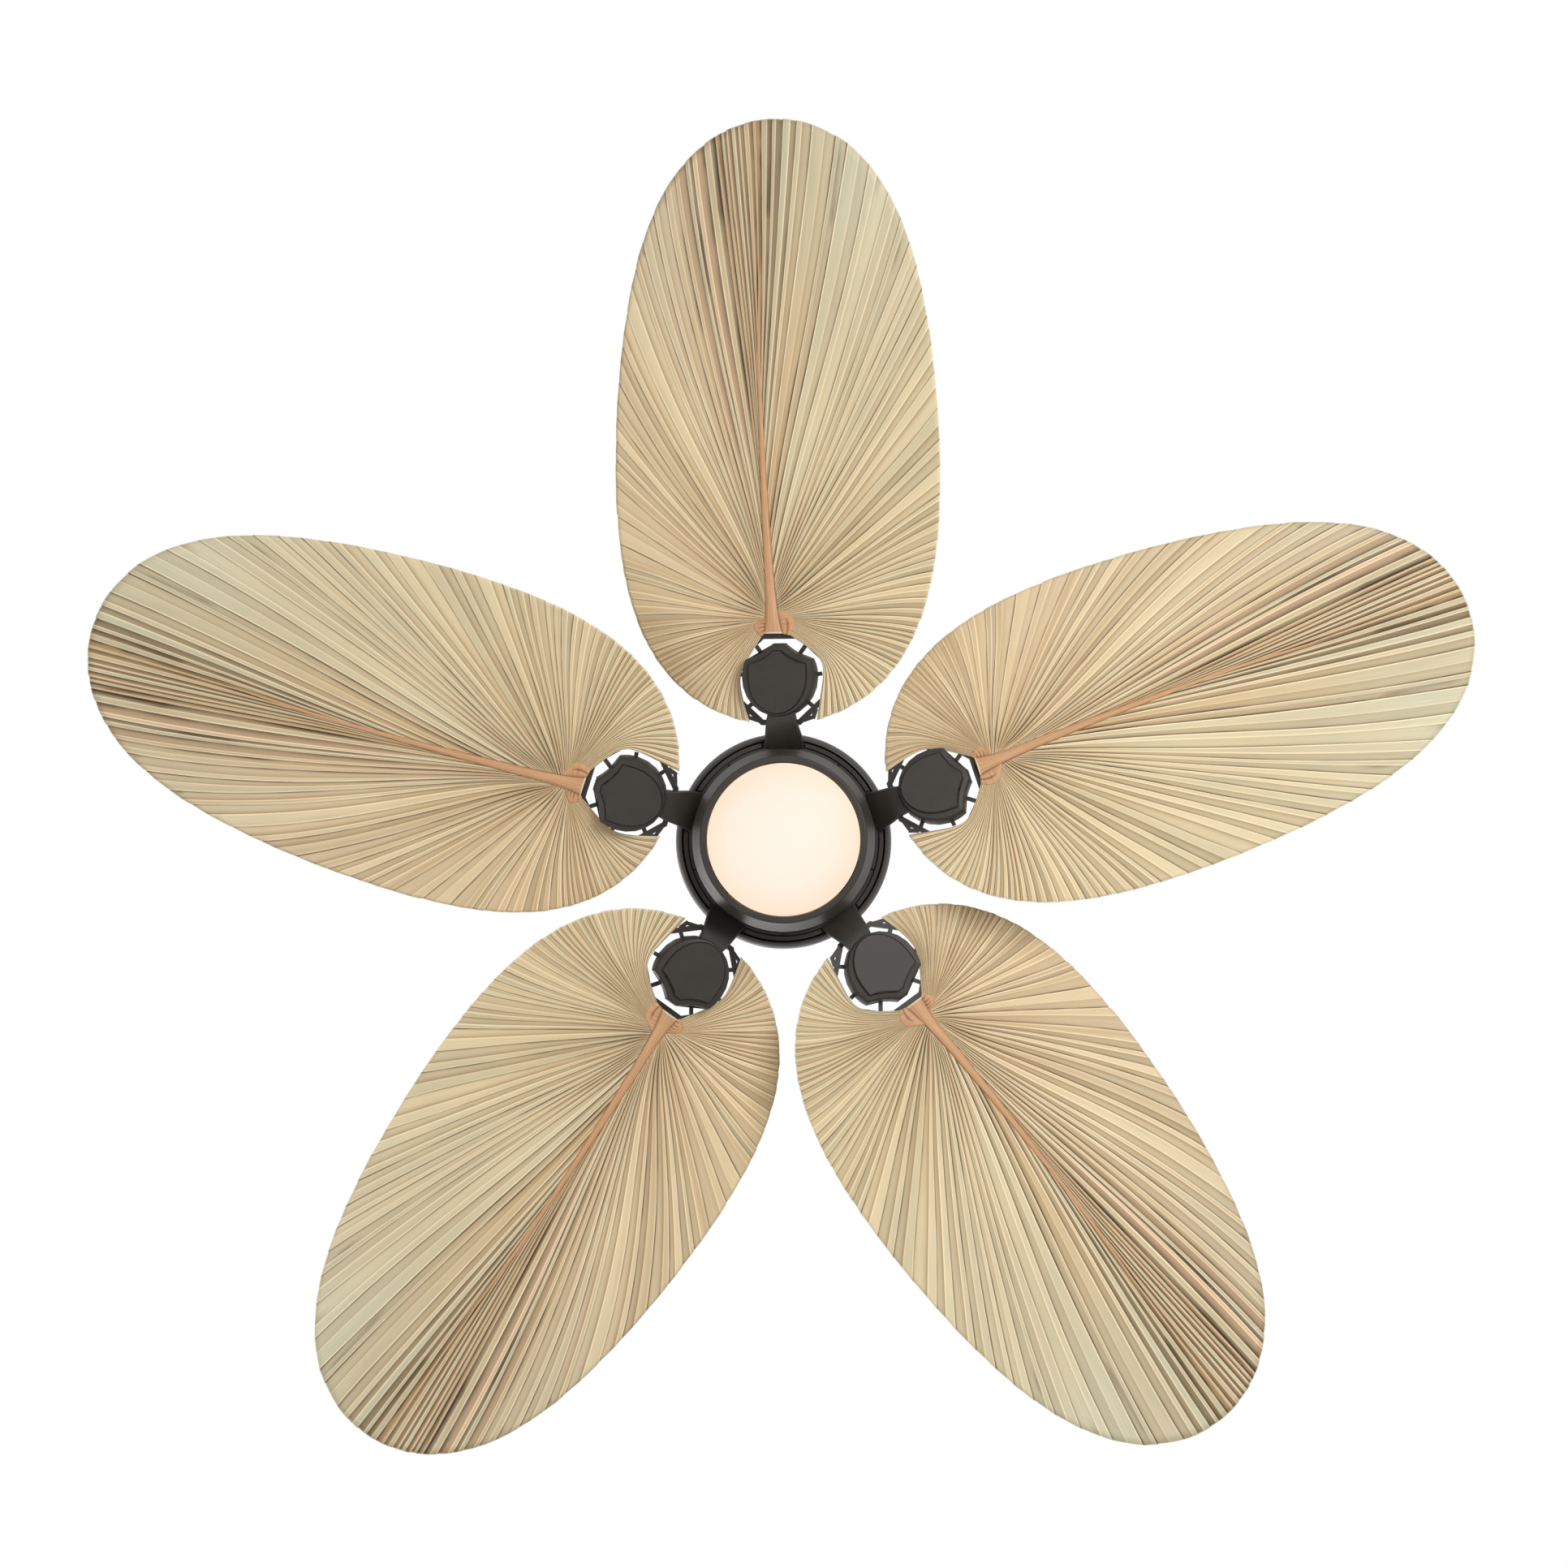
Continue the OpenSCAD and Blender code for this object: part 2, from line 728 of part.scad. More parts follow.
module blade_frame(k) {
    color(bronze_edge)
        at_blade(k) pitched()
            translate([0, shield_c, frame_w]) linear_extrude(frame_t)
                difference() {
                    union() {
                        difference() {
                            translate([0, rim_bar_y]) polygon(octagon(44, 41.8));
                            translate([0, rim_bar_y]) polygon(octagon(39.8, 36.8));
                        }
                        circle(27);
                        for (side = [-1, 1]) {
                            for (a = [36, 81, 128])
                                bar([0, 0], 39 * [side * sin(a), cos(a)], spoke_w);
                            bar([side * 15, -38.5], [side * 30, -33.5], 3.4);
                            bar([side * 30, -35], [side * 33, -26], 3.4);
                        }
                    }
                    for (p = blade_screw_at()) translate([p[0], p[1] - shield_c]) circle(1.9);
                }
}

module blade_screws() {
    color(steel)
        for (k = [0:BLADES - 1]) at_blade(k) pitched()
            for (p = blade_screw_at())
                translate([p[0], p[1], frame_w + frame_t])
                    rotate([180, 0, 0]) screw(blade_screw_r, blade_screw_len, 3.6, 2.4);
}

// Leaf rim: a is 0 at the tip, and grows towards +X
function rim_point(a) =
    [leaf_half_w * sin(a) * (1 - rim_skew * cos(a) + rim_square * cos(a) * cos(a))
            + leaf_shift + leaf_lean * cos(a),
        leaf_mid + leaf_reach * cos(a)];

function rib_x(y) =
    let (s = min(max((y - rib_base_r) / (rib_end_r - rib_base_r), 0), 1))
    rib_base_x + rib_lean * s * (1.5 - 0.5 * s);

function rib_half(y) = 1.5 + 5.5 * exp(-(y - rib_base_r) / 60);

function notch_angle(side, i) =
    let (start = notch_start_a[side > 0 ? 1 : 0])
    start + (notch_end_a - start) * (i - rib_folds) / (leaf_folds - rib_folds);

// Where fold line i starts: on the midrib, or past it on the edge of the notch
function fold_start(side, i) =
    i <= rib_folds
        ? let (y = rib_base_r + (rib_end_r - rib_base_r) * pow(1 - i / rib_folds, 1.5)) [rib_x(y), y]
        : let (a = notch_angle(side, i))
            [notch_x + side * notch_r * cos(a), shield_c + notch_r * sin(a)];

function fold_end(side, i) =
    rim_point(rim_tip_a + (side * rim_end_a[side > 0 ? 1 : 0] - rim_tip_a) * i / leaf_folds);

// Fold lines swing outward where they leave the midrib, and hug the notch below it
function fold_middle(side, i, s, e) =
    i <= rib_folds
        ? s + 0.15 * (e - s) + [0, 14 * sin(180 * i / rib_folds)]
        : let (a = notch_angle(side, i) + notch_turn)
            s + 0.35 * norm(e - s) * [side * sin(a), -cos(a)];

function fold_point(side, i, row) =
    let (on_rib = i > 0 && i <= rib_folds,
        s = fold_start(side, i),
        from = on_rib ? s + [side * rib_half(s[1]), 0] : s,
        e = fold_end(side, i),
        mid = fold_middle(side, i, from, e),
        t = pow(max(on_rib ? (row - 1) / (leaf_rows - 1) : row / leaf_rows, 0), 1.25))
    on_rib && row == 0 ? s : (1 - t) * (1 - t) * from + 2 * t * (1 - t) * mid + t * t * e;

// Height of the leaf's middle: pleats grow with the distance from where they start
function fold_lift(side, i, row) =
    let (p = fold_point(side, i, row),
        run = norm(p - fold_start(side, i)),
        off_frame = norm(p - [notch_x, shield_c]) - notch_r)
    pleat_h / 2 * (i % 2 == 0 ? 1 : -1) * smooth((run - 7) / 38) * smooth((off_frame - 7.5) / 14);

function rib_depth(i, row) = row == 0 && i < rib_folds + 1 ? 1.2 + 1.6 * i / rib_folds : 0;

function leaf_vertex(k, row, upper) =
    let (i = abs(k - leaf_folds),
        side = k < leaf_folds ? 1 : -1,
        p = fold_point(side, i, row),
        lift = fold_lift(side, i, row))
    [p[0], p[1], lift + (upper ? leaf_t / 2 : -leaf_t / 2 - rib_depth(i, row))];

module palm_leaf(k) {
    columns = 2 * leaf_folds;
    layer = (columns + 1) * (leaf_rows + 1);
    // Both halves share the vertices of the midrib
    function shared(c) = c > leaf_folds && c - leaf_folds <= rib_folds;
    function id(c, row, upper) =
        (upper ? layer : 0) + row
        + (leaf_rows + 1) * (row == 0 && shared(c) ? columns - c : c);
    function quad(a, b, c, d) = [[a, b, c], [a, c, d]];
    // Quads are cut so that no triangle turns over where the fold lines run together
    function cut_across(c) = (c < leaf_folds) == (c == leaf_folds - 1 || c == leaf_folds);
    skin = [for (c = [0:columns - 1], r = [0:leaf_rows - 1], up = [true, false])
        let (a = id(c, r, up), b = id(c + 1, r, up),
            d = id(c, r + 1, up), e = id(c + 1, r + 1, up))
        each up
            ? (cut_across(c) ? quad(b, e, d, a) : quad(a, b, e, d))
            : (cut_across(c) ? quad(b, a, d, e) : quad(a, d, e, b))];
    rim = [for (c = [0:columns - 1])
        each quad(id(c, leaf_rows, true), id(c + 1, leaf_rows, true),
            id(c + 1, leaf_rows, false), id(c, leaf_rows, false))];
    ends = [for (r = [0:leaf_rows - 1])
        each concat(
            quad(id(0, r, true), id(0, r + 1, true), id(0, r + 1, false), id(0, r, false)),
            quad(id(columns, r + 1, true), id(columns, r, true),
                id(columns, r, false), id(columns, r + 1, false)))];
    notch = [for (c = [0:columns - 1])
        if (min(abs(c - leaf_folds), abs(c + 1 - leaf_folds)) >= rib_folds)
            each quad(id(c + 1, 0, true), id(c, 0, true), id(c, 0, false), id(c + 1, 0, false))];
    points = [for (up = [false, true], c = [0:columns], r = [0:leaf_rows]) leaf_vertex(c, r, up)];
    color(leaf_tan)
        at_blade(k) pitched() translate([0, 0, leaf_w])
            polyhedron(points = points, faces = concat(skin, rim, ends, notch), convexity = 10);
}

// ---- Light ----

module light_plate() {
    color(zinc)
        difference() {
            disc(light_r - 2.2, light_top_z - light_plate_t, light_top_z);
            disc(shaft_r + 0.1, light_top_z - light_plate_t - cut, light_top_z + cut);
            around(3, 90) translate([light_bolt_r, 0, light_top_z - light_plate_t - cut])
                cylinder(r = 1.7, h = light_plate_t + 2 * cut);
            around(6, 30) translate([40, 0, light_top_z - light_plate_t - cut])
                cylinder(r = 9, h = light_plate_t + 2 * cut);
        }
}

module shaft_nut() {
    color(steel)
        translate([0, 0, light_top_z - light_plate_t - 6])
            difference() {
                cylinder(r = 13, h = 6, $fn = 6);
                translate([0, 0, -cut]) cylinder(r = shaft_r, h = 6 + 2 * cut);
            }
}

module light_ring() {
    flange_low = light_top_z - light_plate_t - wall_t;
    profile = concat([[light_r - 0.4, light_top_z - 0.8], [light_r, light_top_z - 2],
            [light_r, -284]],
        bezier([light_r - 0.4, -288], [light_face_r + 2.4, -308], [light_face_r + 0.6, -318], 8),
        bezier([light_face_r + 0.4, -320], [light_face_r, light_face_z],
            [light_face_r - 1.6, light_face_z], 4),
        [[light_hole_r + 0.5, light_face_z], [light_hole_r, light_face_z + 0.5],
            [light_hole_r, -300], [light_hole_r + wall_t, -300],
            [light_hole_r + wall_t, light_face_z + 1.8], [light_face_r - 1.8, light_face_z + 1.8],
            [light_face_r - 1.2, -318], [light_r - 2.2, -286],
            [light_r - 1.7, flange_low], [60, flange_low], [60, flange_low + wall_t],
            [light_r - 1.7, flange_low + wall_t], [light_r - 1.7, light_top_z - 0.8]]);
    color(bronze)
        difference() {
            union() {
                rotate_extrude() polygon(profile);
                // Lugs that the diffuser's tabs rest on, each with a stop at one end
                around(3) {
                    translate([0, 0, lug_z - lug_t]) linear_extrude(lug_t)
                        sector(lug_in_r, light_hole_r + 0.5, lug_end_a - lug_w, lug_end_a);
                    translate([0, 0, lug_z - 0.5]) linear_extrude(lug_t + 1)
                        sector(lug_in_r, light_hole_r + 0.5, lug_end_a - lug_stop_w, lug_end_a);
                }
            }
            around(3, 90) translate([light_bolt_r, 0, flange_low - cut])
                cylinder(r = 1.9, h = wall_t + 2 * cut);
        }
}

module light_screws() {
    color(steel)
        around(3, 90) translate([light_bolt_r, 0, light_top_z - light_plate_t - 2 * wall_t])
            screw(1.7, 6.5, 3, 2);
}

module led_carrier() {
    top = light_top_z - light_plate_t - wall_t;
    profile = [[74, top], [74, top - wall_t], [carrier_r + 1.5, top - wall_t],
        [carrier_r, carrier_z - wall_t], [0, carrier_z - wall_t], [0, carrier_z],
        [carrier_r - wall_t, carrier_z], [carrier_r, top]];
    color(zinc)
        difference() {
            rotate_extrude() polygon(profile);
            around(3, 90) translate([light_bolt_r, 0, top - wall_t - cut])
                cylinder(r = 1.9, h = wall_t + 2 * cut);
        }
}

module led_driver() {
    color(white_board)
        difference() {
            translate([-33, 15, carrier_z]) cube([66, 34, 17]);
            for (side = [-1, 1]) translate([side * 33 - 2, 22, carrier_z + 4]) cube([4, 20, 9]);
        }
}

module led_board() {
    color(white_board)
        ring(8, 58, carrier_z - wall_t - 1.6, carrier_z - wall_t);
}

module led_chips() {
    low = carrier_z - wall_t - 2.4;
    color(opal)
        for (row = [[22, 8], [37, 14], [51, 20]])
            around(row[1]) translate([row[0] - 1.5, -1.5, low]) cube([3, 3, 0.8]);
}

module diffuser() {
    tab_end_a = lug_end_a - lug_stop_w - 0.5;
    profile = concat([[collar_out_r, -304], [collar_out_r, diffuser_rim_z],
            [diffuser_r - 0.6, diffuser_rim_z], [diffuser_r, diffuser_rim_z - 0.7]],
        bezier([diffuser_r - 0.2, diffuser_rim_z - 2.4], [diffuser_r * 0.6, diffuser_rim_z - dome_h],
            [0, diffuser_rim_z - dome_h], 12),
        bezier([0, diffuser_rim_z - dome_h + 2], [diffuser_r * 0.56, diffuser_rim_z - dome_h + 2],
            [collar_out_r - 2, diffuser_rim_z], 10),
        [[collar_out_r - 2, -304]]);
    color(opal) {
        rotate_extrude() polygon(profile);
        // Tabs that rest on the lugs, turned up to their stops
        around(3) translate([0, 0, lug_z + 0.4]) linear_extrude(lug_t)
            sector(collar_out_r - 0.4, light_hole_r - 0.9, tab_end_a - tab_w, tab_end_a);
    }
}

// ---- The nodes ----

hanger_bracket();
receiver();
canopy();
canopy_screws();
canopy_cover();
hanger_ball();
ball_pin();
ball_set_screw();
downrod();
motor_coupling();
clevis_pin();
hairpin_clip();
coupling_set_screws();
yoke_cover();
motor_housing();
housing_screws();
motor_shaft();
stator_core();
stator_windings();
inner_races();
ball_cages();
bearing_balls();
rotor_upper_shell();
rotor_lower_shell();
rotor_core();
outer_races();
rotor_bolts();
hub_cover();
iron_screws();
blade_screws();
for (k = [0:BLADES - 1]) {
    blade_iron(k);
    blade_frame(k);
    palm_leaf(k);
}
light_plate();
shaft_nut();
light_ring();
light_screws();
led_carrier();
led_driver();
led_board();
led_chips();
diffuser();
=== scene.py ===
"""Looks of the palm-leaf ceiling fan: pleated leaves, bronze metal, a glowing light, studio and camera.

Sizes are in millimetres until they become vertices, because part.scad uses millimetres too. Where a value
is kept for each half of a leaf, its keys are -1 and 1, for the half on the -X and on the +X side.
"""
import json
import math

import bmesh
import bpy
import numpy as np
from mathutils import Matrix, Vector


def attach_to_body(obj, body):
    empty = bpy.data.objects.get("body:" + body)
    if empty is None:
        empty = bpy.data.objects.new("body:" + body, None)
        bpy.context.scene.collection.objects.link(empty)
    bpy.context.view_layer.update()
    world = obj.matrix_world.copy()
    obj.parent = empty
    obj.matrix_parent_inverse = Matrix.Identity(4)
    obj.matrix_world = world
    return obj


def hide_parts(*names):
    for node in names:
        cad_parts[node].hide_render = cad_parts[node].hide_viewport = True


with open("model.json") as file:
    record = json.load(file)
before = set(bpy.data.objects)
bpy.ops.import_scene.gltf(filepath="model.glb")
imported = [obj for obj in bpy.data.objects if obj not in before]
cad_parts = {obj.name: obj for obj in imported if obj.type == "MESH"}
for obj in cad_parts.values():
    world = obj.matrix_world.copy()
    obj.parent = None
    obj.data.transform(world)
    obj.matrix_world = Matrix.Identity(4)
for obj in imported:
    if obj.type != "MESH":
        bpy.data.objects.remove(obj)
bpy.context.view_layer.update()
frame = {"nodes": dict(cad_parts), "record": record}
rng = np.random.default_rng(7)  # a fixed seed, so that every run gives the same leaf
MM = 0.001

# ---- Dimensions shared with part.scad ----
BLADES = 5
PITCH = math.radians(13)
PITCH_AXIS_Z = -257.0
LEAF_W = -13.0  # middle of the leaf, measured square to it
LEAF_MID_Y = 382.6
LEAF_REACH = 277.9
LEAF_HALF_W = 151.2
LEAF_SHIFT = 3.6
LEAF_LEAN = 3.05
RIM_SKEW = 0.0945
RIM_SQUARE = 0.2387
RIM_TIP_A = 6.5  # where the midrib's line meets the rim, in degrees
RIM_END_A = {-1: 170.0, 1: 172.0}  # where the rim ends beside the arm
RIB_BASE_Y = 188.0
RIB_END_Y = 446.0
RIB_BASE_X = 6.2
RIB_LEAN = 14.2

# ---- Pleats ----
MIDRIB_FOLD = 100  # number of the fold on the midrib; fold numbers grow towards -X
LEAF_ROWS = 60
ROW_CROWDING = 1.4  # above 1, the rows of points lie closer together near the stem
SHEET_T = 0.55
RIM_INSET = 0.3  # how far the rim lies inside the CAD leaf's before its pleats make it ragged
RAGGED_RIM = (40, 42)  # middle and half width, in degrees, of the stretch where the rim is most ragged
NARROWEST, WIDEST = 0.62, 1.38  # limits of a pleat's width, as shares of the usual width there
SWAY = 0.1  # how far a fold may wander to each side, as a share of a pleat's width
CREASE_FROM, CREASE_SPREAD = 0.38, 0.2  # where creases lie across their pleats
QUIRK_STEP, QUIRK_TURN, QUIRK_START = 2.4, 0.71, 1.3  # for quirk()
PLEAT_RISE = 0.09  # height of a pleat, as a share of its width
TALLEST_PLEAT = 1.3
NARROW_W = 5.0  # pleats narrower than this stand taller
NARROW_RISE = 0.32  # by this share of their width at most, beside the stem
PLEAT_SINK = 0.35  # share of a pleat's height that lies on the ceiling's side of the leaf's middle
VALLEY_DEPTH, VALLEY_HALF = 0.4, 0.03  # the second is a share of the pleat's width
NEAR_REACH = 16.0  # distance over which the colours beside the stem fade
NEAR_FROM_Y, NEAR_FULL_Y = 175, 200  # these colours stay off the lobes below the stem's foot
# How much the gathered folds at the tip stand out, and the middle and half width of their stretch of rim
TIP_SPREAD = {-1: (0.7, 3, 8), 1: (1.0, 12, 15)}
# Pleats per PLEAT_UNIT degrees of the rim, at angles from the midrib's line to the arm
PLEAT_UNIT = 15
PLEATS = {
    -1: ((0, 6), (6, 5.5), (9, 2.8), (22, 2.3), (37, 2.1), (52, 2.1), (67, 2.5), (82, 2.9), (97, 3.2),
         (112, 4.2), (127, 5.8), (142, 7.2), (157, 8.2), (172, 8)),
    1: ((0, 7), (10, 6), (14, 4.2), (25, 3.6), (33, 2.5), (52, 2.1), (67, 2.3), (82, 2.6), (97, 3.0),
        (112, 4.0), (127, 5.6), (142, 7.0), (157, 8), (170, 8)),
}
# Painted shade: dark gaps where one pleat stands off the next, and at curled tips at the rim.
# Each row is x, y, x, y, half width and strength.
SHADE_MARKS = (
    (87, 612, 76, 560, 1.0, 0.7), (76, 562, 68, 503, 2.4, 0.85), (8, 616, 13, 572, 3.0, 0.7),
    (19, 600, 20, 520, 1.6, 0.6), (-31, 616, -25, 573, 1.8, 0.5), (-56, 629, -47, 562, 1.4, 0.6),
    (73, 632, 57, 573, 1.6, 0.7), (59, 638, 44, 562, 1.5, 0.6), (-117, 553, -88, 487, 1.0, 0.5),
    (-93, 609, -68, 540, 1.0, 0.5), (110, 593, 105, 585, 1.3, 0.8), (130, 543, 126, 536, 1.3, 0.8),
    (139, 501, 136, 494, 1.3, 0.8), (146, 459, 143, 452, 1.3, 0.8),
)

# ---- Folds, as cubic curves from the stem to the rim ----
# Each row is a rim angle from the midrib's line, then the x and y of the curve's foot, of its first handle
# and of its second handle.
FOLDS = {
    -1: (
        (0, 20.4, 446, 20.9, 517, 22.5, 588),
        (10, 14, 360, 8, 460, 0, 560),
        (30, 9, 268, -12, 392, -46, 514),
        (50, 7, 240, -34, 353, -75, 466),
        (70, 6, 229, -38, 324, -87, 415),
        (90, 5, 221, -49, 283, -98, 352),
        (110, 3, 211.5, -46, 240, -96, 279),
        (120, -0.5, 207.5, -49, 224, -96, 254),
        (130, -5, 206.8, -45, 211, -93, 227),
        (140, -9.5, 204.5, -38, 197, -85, 200),
        (150, -12, 201, -33, 188, -72, 178),
        (164, -12, 194.5, -42, 179, -56, 161),
        (178, -6.8, 188.5, -51, 160, -40.5, 164.5),
    ),
    1: (
        (0, 20.4, 446, 20.9, 517, 22.5, 588),
        (10, 14.8, 315, 27, 426, 44, 538),
        (25, 13, 257, 46, 378, 80, 496),
        (37, 12.5, 241, 53, 354, 101, 466),
        (50, 12.4, 234, 54, 335, 104, 433),
        (67, 12.4, 222, 59, 300, 116, 372),
        (90, 13.5, 214, 63, 256, 110, 305),
        (109, 13, 206.5, 61, 221, 105, 245),
        (122, 13, 202, 52, 204, 98, 210),
        (134, 20.5, 200.5, 44, 192, 88, 184),
        (147, 25.5, 197, 37, 181, 60, 152),
        (157, 23, 193, 37, 165, 50, 154),
        (165, 16.5, 188.5, 39.5, 149.6, 43.9, 156.1),
    ),
}
FOLD_BLUR = (-8, -4, 0, 4, 8)  # rim angles over which the rows are averaged, so that the fan has no kinks
ON_STEM_Y = 206  # folds that start higher up than this start on the stem
ON_STEM_BLEND = 6
UNDER_STEM = 0.8  # how far these reach in under the stem's side
FOOT_BEND = 10.0  # how far the folds turn down along the stem where they meet it
FOOT_BEND_REACH = 8  # distance from the stem over which that bend fades
FOOT_BEND_Y = {-1: 216.0, 1: 209.0}  # where the bend starts along the stem
FOOT_BEND_END_Y = 460
FOOT_BEND_FADES = (20, 80)  # lengths over which it comes in, and goes out again

# ---- Stem, and the ears: the gathered lobes beside its foot ----
STEM_THIN = 1.2  # half width of the stem's upper end
STEM_BODY = (3.5, 175)  # what its body adds to that, and the height over which this fades
STEM_FLARE = (4.7, 16)  # the same for the flare at its foot
STEM_TOP_Y = 540.0
STEM_SIDES = 28
EAR_FOOT_Y = 188.7  # lower end of the stem's foot and of the ears
EAR_FROM = {-1: 119.0, 1: 125.0}  # rim angles of the folds that leave an ear and not the stem
EAR_RISE = {-1: 1.5, 1: 3.0}  # how far an ear's inner edge reaches above its first fold
EAR_COLUMNS, EAR_ROWS = 72, 18
EAR_CROWN = 1.6  # height of an ear's middle
EAR_FOLDS = 5
EAR_FOLD_H = 0.3
EAR_CREASE = (0.56, 0.07)  # middle and half width, as shares of the way from the stem outward
EAR_CREASE_DEPTH = 0.7


def smooth(x):
    x = np.clip(x, 0.0, 1.0)
    return x * x * (3 - 2 * x)


def bump(x, middle, width):
    return np.exp(-(((x - middle) / width) ** 2))


def quirk(fold, k):
    """A share from 0 to 1 that differs from pleat to pleat. LeafShader.own() works it out the same way."""
    return 0.5 + 0.5 * np.sin(fold * (QUIRK_STEP + QUIRK_TURN * k) + QUIRK_START * k)


def crease_place(fold):
    """Where the crease lies across a pleat, from its +X side to its -X side."""
    return CREASE_FROM + CREASE_SPREAD * quirk(fold, 1)


def rim_point(a):
    """Point of the leaf's rim at angle a, in degrees from the tip towards +X."""
    c, s = np.cos(np.radians(a)), np.sin(np.radians(a))
    x = LEAF_HALF_W * s * (1 - RIM_SKEW * c + RIM_SQUARE * c * c) + LEAF_SHIFT + LEAF_LEAN * c
    return np.stack([x, LEAF_MID_Y + LEAF_REACH * c], -1)


def rim_span(side):
    """Degrees of rim from the midrib's line to the arm."""
    return RIM_END_A[side] - side * RIM_TIP_A


def rib_x(y):
    s = np.clip((y - RIB_BASE_Y) / (RIB_END_Y - RIB_BASE_Y), 0, 1)
    return RIB_BASE_X + RIB_LEAN * s * (1.5 - 0.5 * s)


def rib_half(y):
    """Half width of the stem: slender along the leaf, and flared at its foot."""
    rise = np.maximum(y - RIB_BASE_Y, 0)
    (body, body_h), (flare, flare_h) = STEM_BODY, STEM_FLARE
    return STEM_THIN + body * np.exp(-((rise / body_h) ** 2)) + flare * np.exp(-rise / flare_h)


def stem_gap(p):
    """How far points of the leaf lie from the edge of the stem."""
    return np.maximum(np.abs(p[..., 0] - rib_x(p[..., 1])) - rib_half(p[..., 1]), 0)


def pleat_edges(side):
    """Angles at the rim of the valleys between pleats, from the midrib's line to the arm."""
    places, counts = np.array(PLEATS[side]).T
    a, edges = 0.0, [0.0]
    while a < rim_span(side) - 1.0:
        a += PLEAT_UNIT / np.interp(a, places, counts) * rng.uniform(NARROWEST, WIDEST)
        edges.append(a)
    return np.array(edges) * rim_span(side) / edges[-1]


def fold_line(side, a, t):
    """Points of the fold that ends at rim angle a (from the midrib's line), at shares t of its length."""
    table = np.array(FOLDS[side], float)
    table[-1, 0] = rim_span(side)
    near_end = np.minimum(1, np.minimum(a, rim_span(side) - a) / FOLD_BLUR[-1])
    values = []
    for column in range(1, table.shape[1]):
        parts = [np.interp(a + d * near_end, table[:, 0], table[:, column]) for d in FOLD_BLUR]
        values.append(sum(parts) / len(parts))
    on_stem = smooth((values[1] - ON_STEM_Y) / ON_STEM_BLEND)
    stem_x = rib_x(values[1]) + side * (rib_half(values[1]) - UNDER_STEM)
    values[0] = values[0] + on_stem * (stem_x - values[0])
    foot, first, second = (np.stack(values[i:i + 2], -1) for i in (0, 2, 4))
    end = rim_point(RIM_TIP_A + side * a)
    t = t[..., None]
    u = 1 - t
    p = u ** 3 * foot + 3 * u * u * t * first + 3 * u * t * t * second + t ** 3 * end
    y = p[..., 1]
    fade_in, fade_out = FOOT_BEND_FADES
    bend = FOOT_BEND * np.exp(-stem_gap(p) / FOOT_BEND_REACH) * smooth((y - FOOT_BEND_Y[side]) / fade_in)
    bend = bend * smooth((FOOT_BEND_END_Y - y) / fade_out)
    return p - np.stack([0 * bend, bend], -1)


def pleat_height(m, fold, width, tip, t):
    """Height of the leaf towards the floor at place m across a pleat, and at share t of its length."""
    crease = crease_place(fold)
    tent = np.where(m < crease, m / crease, (1 - m) / (1 - crease))
    narrow = smooth((NARROW_W - width) / 3)
    tall = np.minimum(PLEAT_RISE * width * (1 + tip), TALLEST_PLEAT)
    tall = tall + NARROW_RISE * width * narrow * (1 - 0.75 * t)
    valley = np.exp(-np.minimum(m, 1 - m) / VALLEY_HALF)
    return tall * (tent - PLEAT_SINK) - VALLEY_DEPTH * np.minimum(width / 6, 1) * valley


def gap_shade_depth(p):
    """How dark the painted shade of the marks makes the points p of the leaf."""
    fade_in, fade_out = 0.3, 0.12  # as shares of a mark's length
    depth = np.zeros(p.shape[:-1])
    for x0, y0, x1, y1, half, strength in SHADE_MARKS:
        start, run = np.array([x0, y0]), np.array([x1 - x0, y1 - y0])
        length = math.hypot(*run)
        share = (p - start) @ run / length ** 2
        across = np.abs((p - start) @ np.array([-run[1], run[0]])) / length
        window = smooth(share / fade_in + 0.5) * smooth((1 - share) / fade_out + 0.5)
        depth = np.maximum(depth, strength * window * np.exp(-((across / half) ** 2)))
    return depth


def ragged_inset(fold, m, upper):
    """How far the rim steps back at place m across a pleat; upper is 1 where the rim is most ragged."""
    slant, upper_slant, offset, curl = 0.35, 0.5, 0.35, 2.2
    flat_share = 0.6  # of the pleats; the corners of the others curl outward
    steps = (slant + upper_slant * upper) * m * quirk(fold, 2)
    curled = curl * upper * max(quirk(fold, 4) - flat_share, 0) * m ** 3
    return RIM_INSET + steps + offset * quirk(fold, 3) - curled


